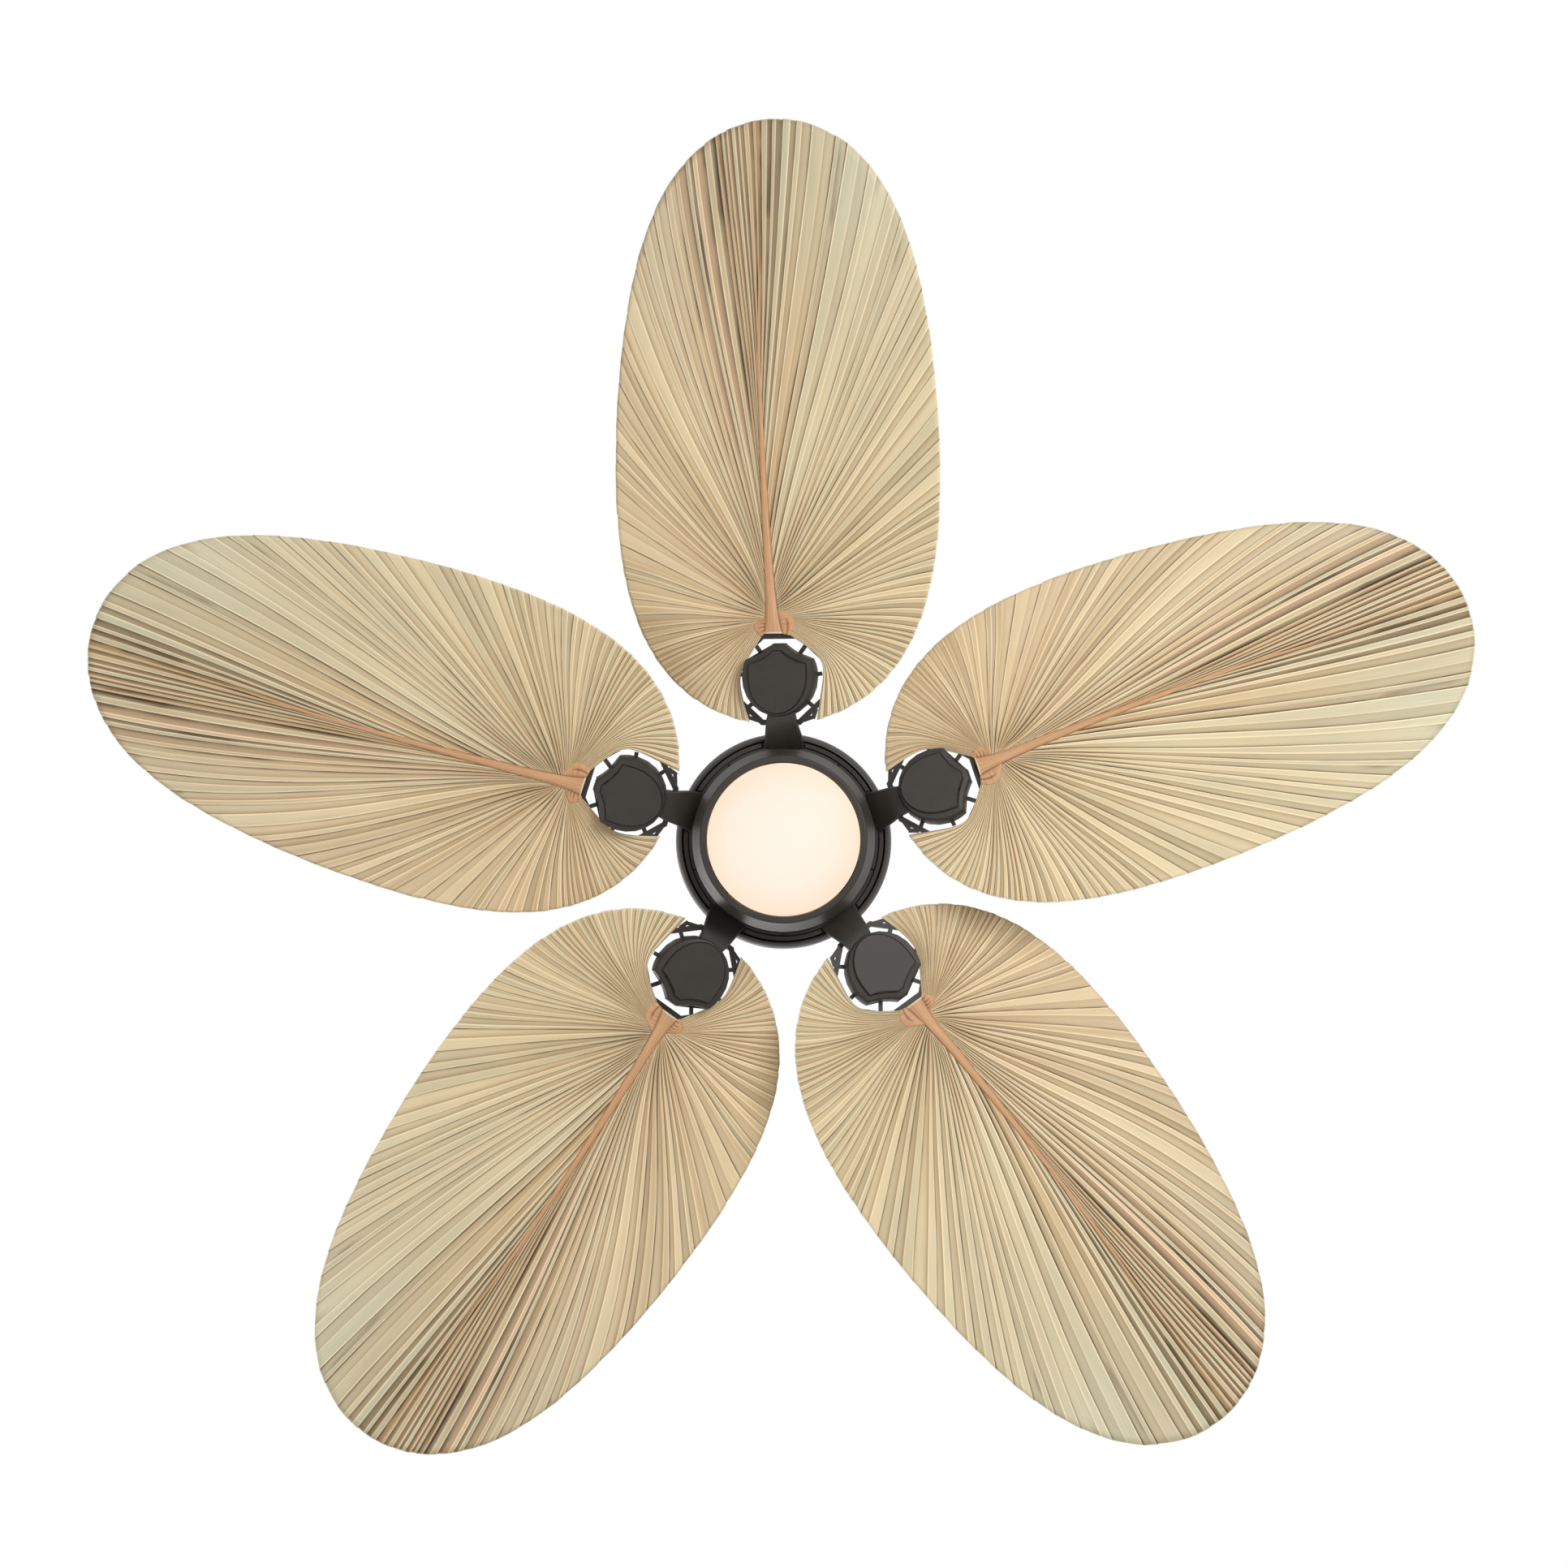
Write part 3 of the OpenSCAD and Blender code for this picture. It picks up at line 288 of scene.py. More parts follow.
def pleat_columns(side, j, edge, low, high, t, is_last):
    """Points, heights and paint of the columns across pleat j, between the rim angles low and high."""
    fold = MIDRIB_FOLD - side * j - (side > 0)
    start, stop = fold_line(side, low, t), fold_line(side, high, t)
    along = np.gradient(start, axis=0)
    along /= np.linalg.norm(along, axis=-1, keepdims=True)
    width = np.abs(np.cross(along, stop - start)) + 0.05  # never 0, because the material divides by it
    length = np.linalg.norm(stop[-1] - start[0])
    amount, middle, half = TIP_SPREAD[side]
    tip_from, tip_fade = 0.05, 0.3
    tip = amount * bump(edge, middle, half) * smooth((t - tip_from) / tip_fade)
    upper = bump(edge, *RAGGED_RIM)
    crease = crease_place(fold)
    turn = crease if side < 0 else 1 - crease
    by_valley, by_crease = 0.05, 0.04
    places = [0, by_valley, turn / 2, turn - by_crease, turn + by_crease, (1 + turn) / 2, 1 - by_valley]
    flat_foot = 0.04  # share of the length over which the pleats rise out of the flat
    columns = []
    for q in places + [1.0] * is_last:
        m = q if side < 0 else 1 - q
        p = fold_line(side, low + (high - low) * q, t * (1 - ragged_inset(fold, m, upper) / length))
        height = pleat_height(m, fold, width, tip, t) * smooth(t / flat_foot)
        above_foot = smooth((p[:, 1] - NEAR_FROM_Y) / (NEAR_FULL_Y - NEAR_FROM_Y))
        near = np.exp(-stem_gap(p) / NEAR_REACH) * above_foot
        number = np.full(LEAF_ROWS, MIDRIB_FOLD - side * (j + q))
        paint = [number, width, t, (1 - t) * length, tip, near, gap_shade_depth(p), p[:, 0], p[:, 1]]
        columns.append((p, height, np.stack(paint, -1)))
    return columns


def leaf_half(side):
    """Points, heights and paint of one half of the leaf, in columns from the midrib to the arm."""
    edges = pleat_edges(side)
    t = np.linspace(0, 1, LEAF_ROWS) ** ROW_CROWDING
    phase = rng.uniform(0, 2 * math.pi, len(edges))
    sway = rng.uniform(-SWAY, SWAY, len(edges))
    sway[[0, -1]] = 0
    last = len(edges) - 2
    columns = []
    for j in range(last + 1):
        step = edges[j + 1] - edges[j]
        low, high = (edges[i] + sway[i] * step * 4 * t * (1 - t) * np.sin(5 * t + phase[i])
                     for i in (j, j + 1))
        columns += pleat_columns(side, j, edges[j], low, high, t, j == last)
    return [np.array(grid) for grid in zip(*columns)]


def to_blade(points, k):
    """From a leaf's own tilted frame, in millimetres, to the row frame, in metres."""
    x, y, w = points[..., 0], points[..., 1], points[..., 2]
    c, s = math.cos(-PITCH), math.sin(-PITCH)
    px, pz = c * x + s * w, -s * x + c * w + PITCH_AXIS_Z
    turn = math.radians(360 / BLADES * k)
    ct, st = math.cos(turn), math.sin(turn)
    return np.stack([ct * px - st * y, st * px + ct * y, pz], -1) * MM


def grid_faces(base, columns, rows, flip):
    c, r = np.meshgrid(np.arange(columns - 1), np.arange(rows - 1), indexing="ij")
    a = base + c * rows + r
    quads = np.stack([a, a + 1, a + rows + 1, a + rows], -1).reshape(-1, 4)
    return quads[:, ::-1] if flip else quads


def closed_sheet(low, high):
    """Points and faces of a closed sheet between a lower and an upper grid."""
    n_cols, rows = low.shape[:2]
    layer = n_cols * rows
    points = np.concatenate([low.reshape(-1, 3), high.reshape(-1, 3)])
    faces = [grid_faces(0, n_cols, rows, False), grid_faces(layer, n_cols, rows, True)]
    c = np.arange(n_cols - 1)
    r = np.arange(rows - 1)
    for a, step, flip in ((c * rows, rows, False), (c * rows + rows - 1, rows, True),
                          (r, 1, True), ((n_cols - 1) * rows + r, 1, False)):
        strip = np.stack([a, a + step, a + step + layer, a + layer], -1)
        faces.append(strip[:, ::-1] if flip else strip)
    return points, np.concatenate(faces)


def mesh_object(name, points, faces, attributes=None):
    mesh = bpy.data.meshes.new(name)
    mesh.from_pydata([tuple(p) for p in points], [], [tuple(int(i) for i in f) for f in faces])
    for key, values in (attributes or {}).items():
        layer = mesh.attributes.new(key, "FLOAT", "POINT")
        layer.data.foreach_set("value", np.asarray(values, np.float32))
    mesh.polygons.foreach_set("use_smooth", [True] * len(mesh.polygons))
    mesh.update()
    mesh.validate()
    obj = bpy.data.objects.new(name, mesh)
    bpy.context.scene.collection.objects.link(obj)
    return obj


def leaf_sheet():
    """Points, faces and paint of one leaf in its own frame."""
    minus_half = leaf_half(-1)
    plus_half = leaf_half(1)
    # columns run from the arm on the -X side, over the tip, to the arm on the +X side
    plan, height, paint = (np.concatenate([a[::-1], b[1:]]) for a, b in zip(minus_half, plus_half))
    low = np.concatenate([plan, (LEAF_W - SHEET_T / 2 - height)[..., None]], -1)
    high = np.concatenate([plan, (LEAF_W + SHEET_T / 2 - height)[..., None]], -1)
    points, faces = closed_sheet(low, high)
    flat = paint.reshape(-1, paint.shape[-1])
    return points, faces, dict(zip(LEAF_PAINT, np.concatenate([flat, flat]).T))


def ear_sheet(side):
    """The gathered lobe that fills the space between the stem's foot and the feet of the lowest folds.

    The ear at +X is folded near the stem, and the one at -X has one crease down its middle.
    """
    over_folds = 0.02  # share of the folds' length that an ear covers
    under_stem = 1.5
    s = np.linspace(0, 1, EAR_COLUMNS)  # from the top of the ear to its foot
    r = np.linspace(0, 1, EAR_ROWS)  # from the stem outward
    down = s[:, None]
    angles = EAR_FROM[side] + (rim_span(side) - EAR_FROM[side]) * s
    outer = fold_line(side, angles, np.full(EAR_COLUMNS, over_folds))
    top = outer[0, 1] + EAR_RISE[side]
    y = top + (EAR_FOOT_Y - top) * s
    inner = np.stack([rib_x(y) + side * (rib_half(y) - under_stem), y], -1)
    plan = inner[:, None] + (outer - inner)[:, None] * r[:, None]
    gap = np.linalg.norm(outer - inner, axis=-1)[:, None]
    swirl = 0.09 * np.sin(5 * r)  # bends the folds on their way outward
    ridge = np.cos(2 * math.pi * EAR_FOLDS * (down + swirl))
    folds_end, crease_from, fade = 0.72, 0.3, 0.3
    inside = smooth((folds_end - r) / fade) * (side > 0)
    crease = bump(r, *EAR_CREASE) * smooth((down - crease_from) / fade) * (side < 0)
    crown = EAR_CROWN * np.minimum(gap / 9, 1) * np.sin(math.pi * (0.12 + 0.8 * r))
    bulge = crown + EAR_FOLD_H * ridge * inside - EAR_CREASE_DEPTH * crease
    below, above = 0.35, 0.25  # how thick the flat ear is on each side of the leaf's middle
    low = np.concatenate([plan, (LEAF_W - below - bulge)[..., None]], -1)
    high = np.concatenate([plan, np.full((EAR_COLUMNS, EAR_ROWS, 1), LEAF_W + above)], -1)
    # the edge paint is painted shade: beside the stem, in the valleys between the folds and along the crease
    by_stem = np.exp(-(r / 0.17) ** 2)
    edge = by_stem + 0.9 * inside * smooth(-ridge - 0.1) + crease
    fibres_down, fibres_out = 34.0, 0.8  # how fine the fibres are, down the ear and outward
    arrays = [low, high, np.minimum(edge, 1), fibres_down * (down + 0 * r), fibres_out * (r + 0 * down)]
    if side < 0:
        arrays = [a[::-1] for a in arrays]
    points, faces = closed_sheet(arrays[0], arrays[1])
    edge, strand, run = (np.concatenate([a.ravel(), a.ravel()]) for a in arrays[2:])
    return points, faces, dict(zip(STEM_PAINT, (edge, 0 * edge, strand, run)))


def stem_sheet():
    """The stem in the leaf's own frame: a tapering rib with an oval section, sunk halfway into the leaf."""
    taper_y = 440  # above this the stem thins out to its tip
    flatten_y, flat_y = 280, 500  # and between these it flattens
    sink = 0.3  # how far its middle lies below the leaf's
    ripple_h, ripples, twist = 0.04, 9, 0.02
    cut_end = EAR_FOOT_Y + np.array([0, 0.5, 0.9])
    ys = np.concatenate([cut_end, np.linspace(190.5, 230, 18), np.linspace(238, STEM_TOP_Y, 38)])
    around = np.linspace(0, 2 * math.pi, STEM_SIDES, endpoint=False)
    points, paint = [], []
    for i, y in enumerate(ys):
        half = float(rib_half(y)) * (1 - 0.92 * smooth((y - taper_y) / (STEM_TOP_Y - taper_y)))
        depth = (1.5 + 0.22 * half) * (1 - 0.85 * smooth((y - flatten_y) / (flat_y - flatten_y)))
        ripple = 1 + ripple_h * np.cos(ripples * around + twist * y)
        x = float(rib_x(y)) + half * ripple * np.cos(around)
        w = LEAF_W - sink + depth * ripple * np.sin(around)
        points.append(np.stack([x, np.full(STEM_SIDES, y), w], -1))
        # painted shade on the stem's sides, where it curves away
        edge = np.abs(np.cos(around)) ** 7
        cut = np.full(STEM_SIDES, float(i < len(cut_end)))
        paint.append(np.stack([edge, cut, 7 * np.cos(around), np.full(STEM_SIDES, y * 0.03)], -1))
    faces = []
    for i in range(len(ys) - 1):
        base = i * STEM_SIDES
        for j in range(STEM_SIDES):
            k = (j + 1) % STEM_SIDES
            faces.append((base + j, base + k, base + STEM_SIDES + k, base + STEM_SIDES + j))
    faces.append(tuple(range(STEM_SIDES - 1, -1, -1)))
    faces.append(tuple((len(ys) - 1) * STEM_SIDES + j for j in range(STEM_SIDES)))
    return np.concatenate(points), faces, dict(zip(STEM_PAINT, np.concatenate(paint).T))


# ---- Shader helpers ----

# What each point of a leaf, and each point of a stem or an ear, tells its material
LEAF_PAINT = ("fold", "width", "along", "reach", "tip", "near", "mark", "leaf_x", "leaf_y")
STEM_PAINT = ("edge", "cut", "strand", "run")


def nodes_of(name):
    material = bpy.data.materials.new(name)
    material.use_nodes = True
    tree = material.node_tree
    tree.nodes.clear()
    out = tree.nodes.new("ShaderNodeOutputMaterial")
    shader = tree.nodes.new("ShaderNodeBsdfPrincipled")
    tree.links.new(shader.outputs[0], out.inputs[0])
    return material, tree, shader


def feed(tree, socket, value):
    """Gives an input another node's output, or a plain value."""
    if isinstance(value, bpy.types.NodeSocket):
        tree.links.new(value, socket)
    else:
        socket.default_value = value


def node(tree, kind, inputs=None, **settings):
    n = tree.nodes.new(kind)
    for key, value in settings.items():
        setattr(n, key, value)
    for key, value in (inputs or {}).items():
        feed(tree, n.inputs[key], value)
    return n


def math_node(tree, operation, *values, clamp=False):
    n = node(tree, "ShaderNodeMath", operation=operation, use_clamp=clamp)
    for socket, value in zip(n.inputs, values):
        feed(tree, socket, value)
    return n.outputs[0]


def mix_node(tree, factor, a, b, blend="MIX"):
    n = node(tree, "ShaderNodeMix", {0: factor, 6: a, 7: b}, data_type="RGBA", blend_type=blend)
    return n.outputs[2]


def attribute(tree, name):
    return node(tree, "ShaderNodeAttribute", attribute_name=name).outputs["Fac"]


def object_place(tree):
    return node(tree, "ShaderNodeTexCoord").outputs["Object"]


def noise(tree, place, scale, detail):
    inputs = {"Vector": place, "Scale": scale, "Detail": detail}
    return node(tree, "ShaderNodeTexNoise", inputs).outputs["Fac"]


def noise_at(tree, x, y, detail):
    """Noise over two values of the caller's own."""
    place = node(tree, "ShaderNodeCombineXYZ", {"X": x, "Y": y}).outputs[0]
    return noise(tree, place, 1.0, detail)


def relief(tree, shader, height, strength, depth_mm):
    bumps = node(tree, "ShaderNodeBump", {"Height": height, "Strength": strength, "Distance": depth_mm * MM})
    tree.links.new(bumps.outputs[0], shader.inputs["Normal"])


def rgb(r, g, b):
    """Linear colour from display values of 0 to 255."""
    linear = [((v / 255 + 0.055) / 1.055) ** 2.4 if v > 10 else v / 255 / 12.92 for v in (r, g, b)]
    return (*linear, 1.0)


# ---- Leaf material ----

# Display values, by where each colour is used. Besides the leaf's own colours there are painted shade on the
# pleats (olive backs, slopes, shadows, valley lines and gaps) and painted highlights (on creases, beside
# valleys and along the rim).
LEAF_COLOURS = {name: rgb(*values) for name, values in {
    "low": (210, 188, 148), "middle": (219, 202, 165), "high": (207, 200, 170), "green": (200, 197, 164),
    "pink": (222, 188, 156), "olive_shade": (150, 130, 90), "by_stem": (206, 164, 116), "slope": (158, 126, 82),
    "band": (192, 160, 118), "shadow": (146, 116, 76), "foot": (172, 132, 86), "crease_highlight": (250, 229, 190),
    "valley_highlight": (253, 238, 203), "valley_shade": (104, 78, 48), "darkest_valley_shade": (64, 47, 26),
    "gap": (78, 60, 32), "rim": (246, 236, 208),
}.items()}
# Soft oval patches of another tone: x, y, half width, half height and the change
TONE_PATCHES = ((-52, 480, 35, 110, -0.08), (38, 640, 22, 26, 0.13), (35, 450, 26, 130, 0.1),
                (100, 340, 55, 95, 0.05), (-75, 320, 50, 60, 0.05))
FOOT_PATCH = (9, 190, 55, 24)


class LeafShader:
    """The leaf's paint as shader values, with arithmetic on them. Distances are in millimetres.

    Across a pleat, m grows from 0 at its +X side to 1. The values from_plus, from_minus and past_crease are
    distances from its two valleys and from its crease. Its size grows with its width up to 1 and scales
    the lines on it. The values behind, plus_half, beside and tight are 1 past the crease, on the leaf's
    +X half, at the stem and on narrow pleats.
    """

    def __init__(self, tree):
        self.tree = tree
        for name in LEAF_PAINT:
            setattr(self, name, attribute(tree, name))
        self.pleat = self.calc("FLOOR", self.fold)
        self.m = self.calc("SUBTRACT", self.fold, self.pleat)
        self.size = self.calc("MAXIMUM", self.calc("MINIMUM", self.times(self.width, 1 / 9), 1.0), 0.08)
        self.tight = self.calc("SUBTRACT", 1.0, self.ramp(self.width, 2.0, 7.0))
        self.from_plus = self.times(self.m, self.width)
        self.from_minus = self.times(self.calc("SUBTRACT", 1.0, self.m), self.width)
        crease = self.own(1, CREASE_FROM, CREASE_FROM + CREASE_SPREAD)
        self.off_crease = self.calc("SUBTRACT", self.m, crease)
        self.past_crease = self.times(self.off_crease, self.width)
        self.behind = self.calc("GREATER_THAN", self.past_crease, 0.0)
        midrib = self.ramp(self.fold, MIDRIB_FOLD - 2.0, MIDRIB_FOLD + 2.0)
        self.plus_half = self.calc("SUBTRACT", 1.0, midrib)
        self.beside = self.calc("POWER", self.near, 0.36)
        self.fibres = noise_at(tree, self.times(self.fold, 16.0), self.times(self.along, 5.0), 4.0)
        self.cloud = noise_at(tree, self.times(self.leaf_x, 0.02), self.times(self.leaf_y, 0.02), 3.0)

    def calc(self, operation, *values, clamp=False):
        return math_node(self.tree, operation, *values, clamp=clamp)

    def times(self, a, b, clamp=False):
        return self.calc("MULTIPLY", a, b, clamp=clamp)

    def linear(self, value, factor, base, clamp=False):
        return self.calc("MULTIPLY_ADD", value, factor, base, clamp=clamp)

    def own(self, k, low, high):
        """This pleat's own share, as quirk() gives it, spread between two values."""
        wave = self.calc("SINE", self.linear(self.pleat, QUIRK_STEP + QUIRK_TURN * k, QUIRK_START * k))
        return self.linear(wave, (high - low) / 2, (high + low) / 2)

    def ramp(self, value, start, stop):
        inputs = {"Value": value, "From Min": start, "From Max": stop}
        return node(self.tree, "ShaderNodeMapRange", inputs, interpolation_type="SMOOTHSTEP").outputs[0]

    def gauss(self, value, spread):
        ratio = self.calc("DIVIDE", value, spread)
        return self.calc("EXPONENT", self.times(self.times(ratio, ratio), -1.0))

    def stripe(self, distance, place, spread):
        """A soft stripe whose middle is at a distance of place. Place and spread are in units of size."""
        value = self.calc("ADD", distance, self.times(self.size, -place))
        return self.gauss(value, self.times(self.size, spread))

    def decay(self, distance, spread):
        """Falls from 1 as the distance grows. Spread is in units of size."""
        power = self.calc("DIVIDE", distance, self.times(self.size, -spread))
        return self.calc("EXPONENT", power, clamp=True)

    def patch(self, x, y, half_x, half_y):
        """A soft oval on the leaf, at most 1 in its middle."""
        across = self.gauss(self.calc("SUBTRACT", self.leaf_x, x), half_x)
        return self.times(across, self.gauss(self.calc("SUBTRACT", self.leaf_y, y), half_y))

    def tint(self, colour, factor, target):
        return mix_node(self.tree, factor, colour, target)


def leaf_base(s):
    """Straw colour with greener and pinker places, and painted shade in olive on the back panels of the
    folds at the tip.
    """
    colour = s.tint(LEAF_COLOURS["low"], s.ramp(s.leaf_y, 170.0, 400.0), LEAF_COLOURS["middle"])
    colour = s.tint(colour, s.ramp(s.leaf_y, 420.0, 640.0), LEAF_COLOURS["high"])
    greener = s.times(s.calc("SUBTRACT", s.cloud, s.own(9, 0.35, 0.7)), 2.2, clamp=True)
    colour = s.tint(colour, s.times(greener, 0.7), LEAF_COLOURS["green"])
    pinker = s.times(s.plus_half, s.linear(s.cloud, 0.6, -0.1, clamp=True))
    pinker = s.linear(s.times(s.tip, s.plus_half), s.own(10, -0.2, 0.9), pinker, clamp=True)
    colour = s.tint(colour, pinker, LEAF_COLOURS["pink"])
    # painted shade: the panels past the creases of the gathered folds at the tip turn olive
    return s.tint(colour, s.times(s.times(s.behind, s.tip), s.own(14, 0.1, 0.95)), LEAF_COLOURS["olive_shade"])


def leaf_tone(s):
    """How bright the leaf is: painted shade on the panel past each pleat's crease, fibres, specks, painted
    highlights on the crests of narrow pleats with painted shade in their valleys, and patches.
    """
    # painted shade: the panel past each crease is darker, most of all on the folds at the tip
    second = s.times(s.behind, s.linear(s.tip, s.own(13, 0.1, 0.35), s.own(11, 0.03, 0.13)))
    tone = s.calc("SUBTRACT", s.calc("SUBTRACT", s.own(12, 0.9, 1.04), second), s.times(s.near, 0.2))
    tone = s.calc("ADD", tone, s.linear(s.fibres, 0.3, -0.15))
    tone = s.calc("ADD", tone, s.linear(noise(s.tree, object_place(s.tree), 900.0, 1.0), 0.08, -0.04))
    # painted highlights on the crests of narrow pleats and painted shade in their valleys, strongest beside
    # the stem
    crest_light_and_shade = s.calc("COSINE", s.times(s.off_crease, 2 * math.pi))
    tone = s.calc("ADD", tone, s.times(s.times(crest_light_and_shade, s.tight), s.linear(s.beside, 0.36, 0.12)))
    for x, y, half_x, half_y, change in TONE_PATCHES:
        tone = s.linear(s.patch(x, y, half_x, half_y), change, tone)
    return tone


def leaf_lines(s):
    """Lines and soft bands of a pleat, from the lowest layer to the top one: factor, strength and colour.
    Most are painted light and shade: shade down the slopes, the shadow past each crease, highlights on the
    creases, beside the valleys and along the rim, and shade in the valleys and the gaps.
    """
    strong = s.ramp(noise_at(s.tree, s.times(s.pleat, 3.7), s.times(s.along, 4.0), 2.0), 0.34, 0.66)
    by_stem = s.times(s.beside, s.own(16, -0.15, 0.6))
    # painted shade: brownish shade that fades from each valley across the facet, stronger beside the stem
    slope = s.times(s.decay(s.from_minus, 3.2), s.own(15, 0.15, 0.9))
    slope = s.times(slope, s.linear(s.beside, 0.6, 0.4))
    band = s.times(s.times(s.stripe(s.from_plus, 3.4, 2.0), s.own(8, -0.2, 0.8)), s.plus_half)
    shadow = s.times(s.times(s.behind, s.decay(s.past_crease, 2.2)), s.own(6, 0.3, 1.2))
    # painted highlight along each crease, just before its shadow
    crease_highlight = s.times(s.stripe(s.past_crease, -0.5, 0.6), s.own(7, 0.2, 1.1))
    # painted highlight: a pale lit line beside each valley, brighter beside the stem
    valley_highlight = s.times(s.stripe(s.from_plus, 0.6, 0.65),
                        s.calc("SUBTRACT", s.own(5, 0.6, 1.3), s.times(strong, 0.45)))
    valley_highlight = s.times(valley_highlight, s.linear(s.beside, 1.0, 0.65))
    # painted shade: a dark line in each valley, wider on narrow pleats, at the tip and beside the stem, and
    # darkest there
    broad = s.times(s.size, s.linear(s.tight, 1.0, s.linear(s.tip, 1.5, 0.9)))
    broad = s.times(broad, s.linear(s.beside, 0.9, 1.0))
    broad = s.calc("MINIMUM", broad, s.times(s.width, 0.3))
    force = s.times(s.own(4, 0.7, 1.15), s.linear(strong, 0.65, 0.5))
    valley_shade = s.times(s.gauss(s.from_minus, broad), force)
    deep = s.calc("MAXIMUM", s.tip, s.beside)
    valley_shade_colour = s.tint(LEAF_COLOURS["valley_shade"], deep, LEAF_COLOURS["darkest_valley_shade"])
    # painted shade in the gaps of the marks, darker past the crease
    gap = s.times(s.mark, s.linear(s.behind, 0.85, 0.15))
    return (
        (by_stem, 1.0, LEAF_COLOURS["by_stem"]),
        (slope, 0.8, LEAF_COLOURS["slope"]),
        (band, 0.6, LEAF_COLOURS["band"]),
        (shadow, 0.75, LEAF_COLOURS["shadow"]),
        (s.patch(*FOOT_PATCH), 0.35, LEAF_COLOURS["foot"]),
        (crease_highlight, 0.7, LEAF_COLOURS["crease_highlight"]),
        (valley_highlight, 0.8, LEAF_COLOURS["valley_highlight"]),
        (valley_shade, 0.95, valley_shade_colour),
        (gap, 1.0, LEAF_COLOURS["gap"]),
        # painted highlight: a thin pale line along the rim
        (s.gauss(s.reach, 0.8), 0.5, LEAF_COLOURS["rim"]),
    )


def leaf_material():
    material, tree, shader = nodes_of("dried_leaf")
    s = LeafShader(tree)
    tone = leaf_tone(s)
    grey = node(tree, "ShaderNodeCombineColor", {"Red": tone, "Green": tone, "Blue": tone}).outputs[0]
    colour = mix_node(tree, 1.0, leaf_base(s), grey, "MULTIPLY")
    for factor, strength, target in leaf_lines(s):
        colour = s.tint(colour, s.times(factor, strength, clamp=True), target)
    tree.links.new(colour, shader.inputs["Base Color"])
    shader.inputs["Roughness"].default_value = 0.6
    shader.inputs["Specular IOR Level"].default_value = 0.3
    relief(tree, shader, s.fibres, 0.2, 0.4)
    return material


# ---- Other materials ----

def stem_material():
    """Lengthwise fibres, painted shade on the stem's sides and in the ears' folds, and a pale cut end."""
    material, tree, shader = nodes_of("leaf_stem")
    grain = noise_at(tree, attribute(tree, "strand"), attribute(tree, "run"), 5.0)
    fibres = node(tree, "ShaderNodeMapRange", {"Value": grain, "From Min": 0.3, "From Max": 0.7}).outputs[0]
    cloud = math_node(tree, "MULTIPLY", noise(tree, object_place(tree), 90.0, 3.0), 0.5)
    # painted shade: the edge paint darkens the stem's sides, and the ears beside the stem, in their fold
    # valleys and along their crease
    side = math_node(tree, "MULTIPLY", attribute(tree, "edge"), 0.8)
    colour = mix_node(tree, fibres, rgb(172, 122, 80), rgb(216, 174, 131))
    for factor, target in ((cloud, rgb(190, 140, 96)), (side, rgb(112, 60, 32)),
                           (attribute(tree, "cut"), rgb(214, 196, 170))):
        colour = mix_node(tree, factor, colour, target)
    tree.links.new(colour, shader.inputs["Base Color"])
    shader.inputs["Roughness"].default_value = 0.5
    relief(tree, shader, grain, 0.4, 0.4)
    return material


def clouded_material(name, dark, light, roughness, metallic, shine=0.5):
    """A finish that wanders between two close colours and has a fine grain."""
    material, tree, shader = nodes_of(name)
    place = object_place(tree)
    cloud = noise(tree, place, 60.0, 5.0)
    tree.links.new(mix_node(tree, cloud, rgb(*dark), rgb(*light)), shader.inputs["Base Color"])
    rough = math_node(tree, "MULTIPLY_ADD", cloud, 0.12, roughness - 0.06)
    tree.links.new(rough, shader.inputs["Roughness"])
    shader.inputs["Metallic"].default_value = metallic
    shader.inputs["Specular IOR Level"].default_value = shine
    relief(tree, shader, noise(tree, place, 1500.0, 2.0), 0.08, 0.3)
    return material


def opal_material():
    """The lit diffuser: nearly white in its middle, and warmer towards its rim."""
    diffuser_r = 69.2
    material, tree, shader = nodes_of("opal")
    place = object_place(tree)
    split = node(tree, "ShaderNodeSeparateXYZ", {"Vector": place})
    squares = [math_node(tree, "MULTIPLY", split.outputs[i], split.outputs[i]) for i in (0, 1)]
    distance = math_node(tree, "SQRT", math_node(tree, "ADD", *squares))
    share = math_node(tree, "MULTIPLY", distance, 1 / (diffuser_r * MM), clamp=True)
    edge = math_node(tree, "POWER", share, 3.0)
    warmth = math_node(tree, "MULTIPLY_ADD", noise(tree, place, 18.0, 2.0), 0.16, edge, clamp=True)
    glow = mix_node(tree, warmth, rgb(254, 246, 232), rgb(255, 230, 204))
    tree.links.new(glow, shader.inputs["Emission Color"])
    shader.inputs["Emission Strength"].default_value = 0.93
    shader.inputs["Base Color"].default_value = rgb(56, 52, 46)
    shader.inputs["Roughness"].default_value = 0.55
    return material


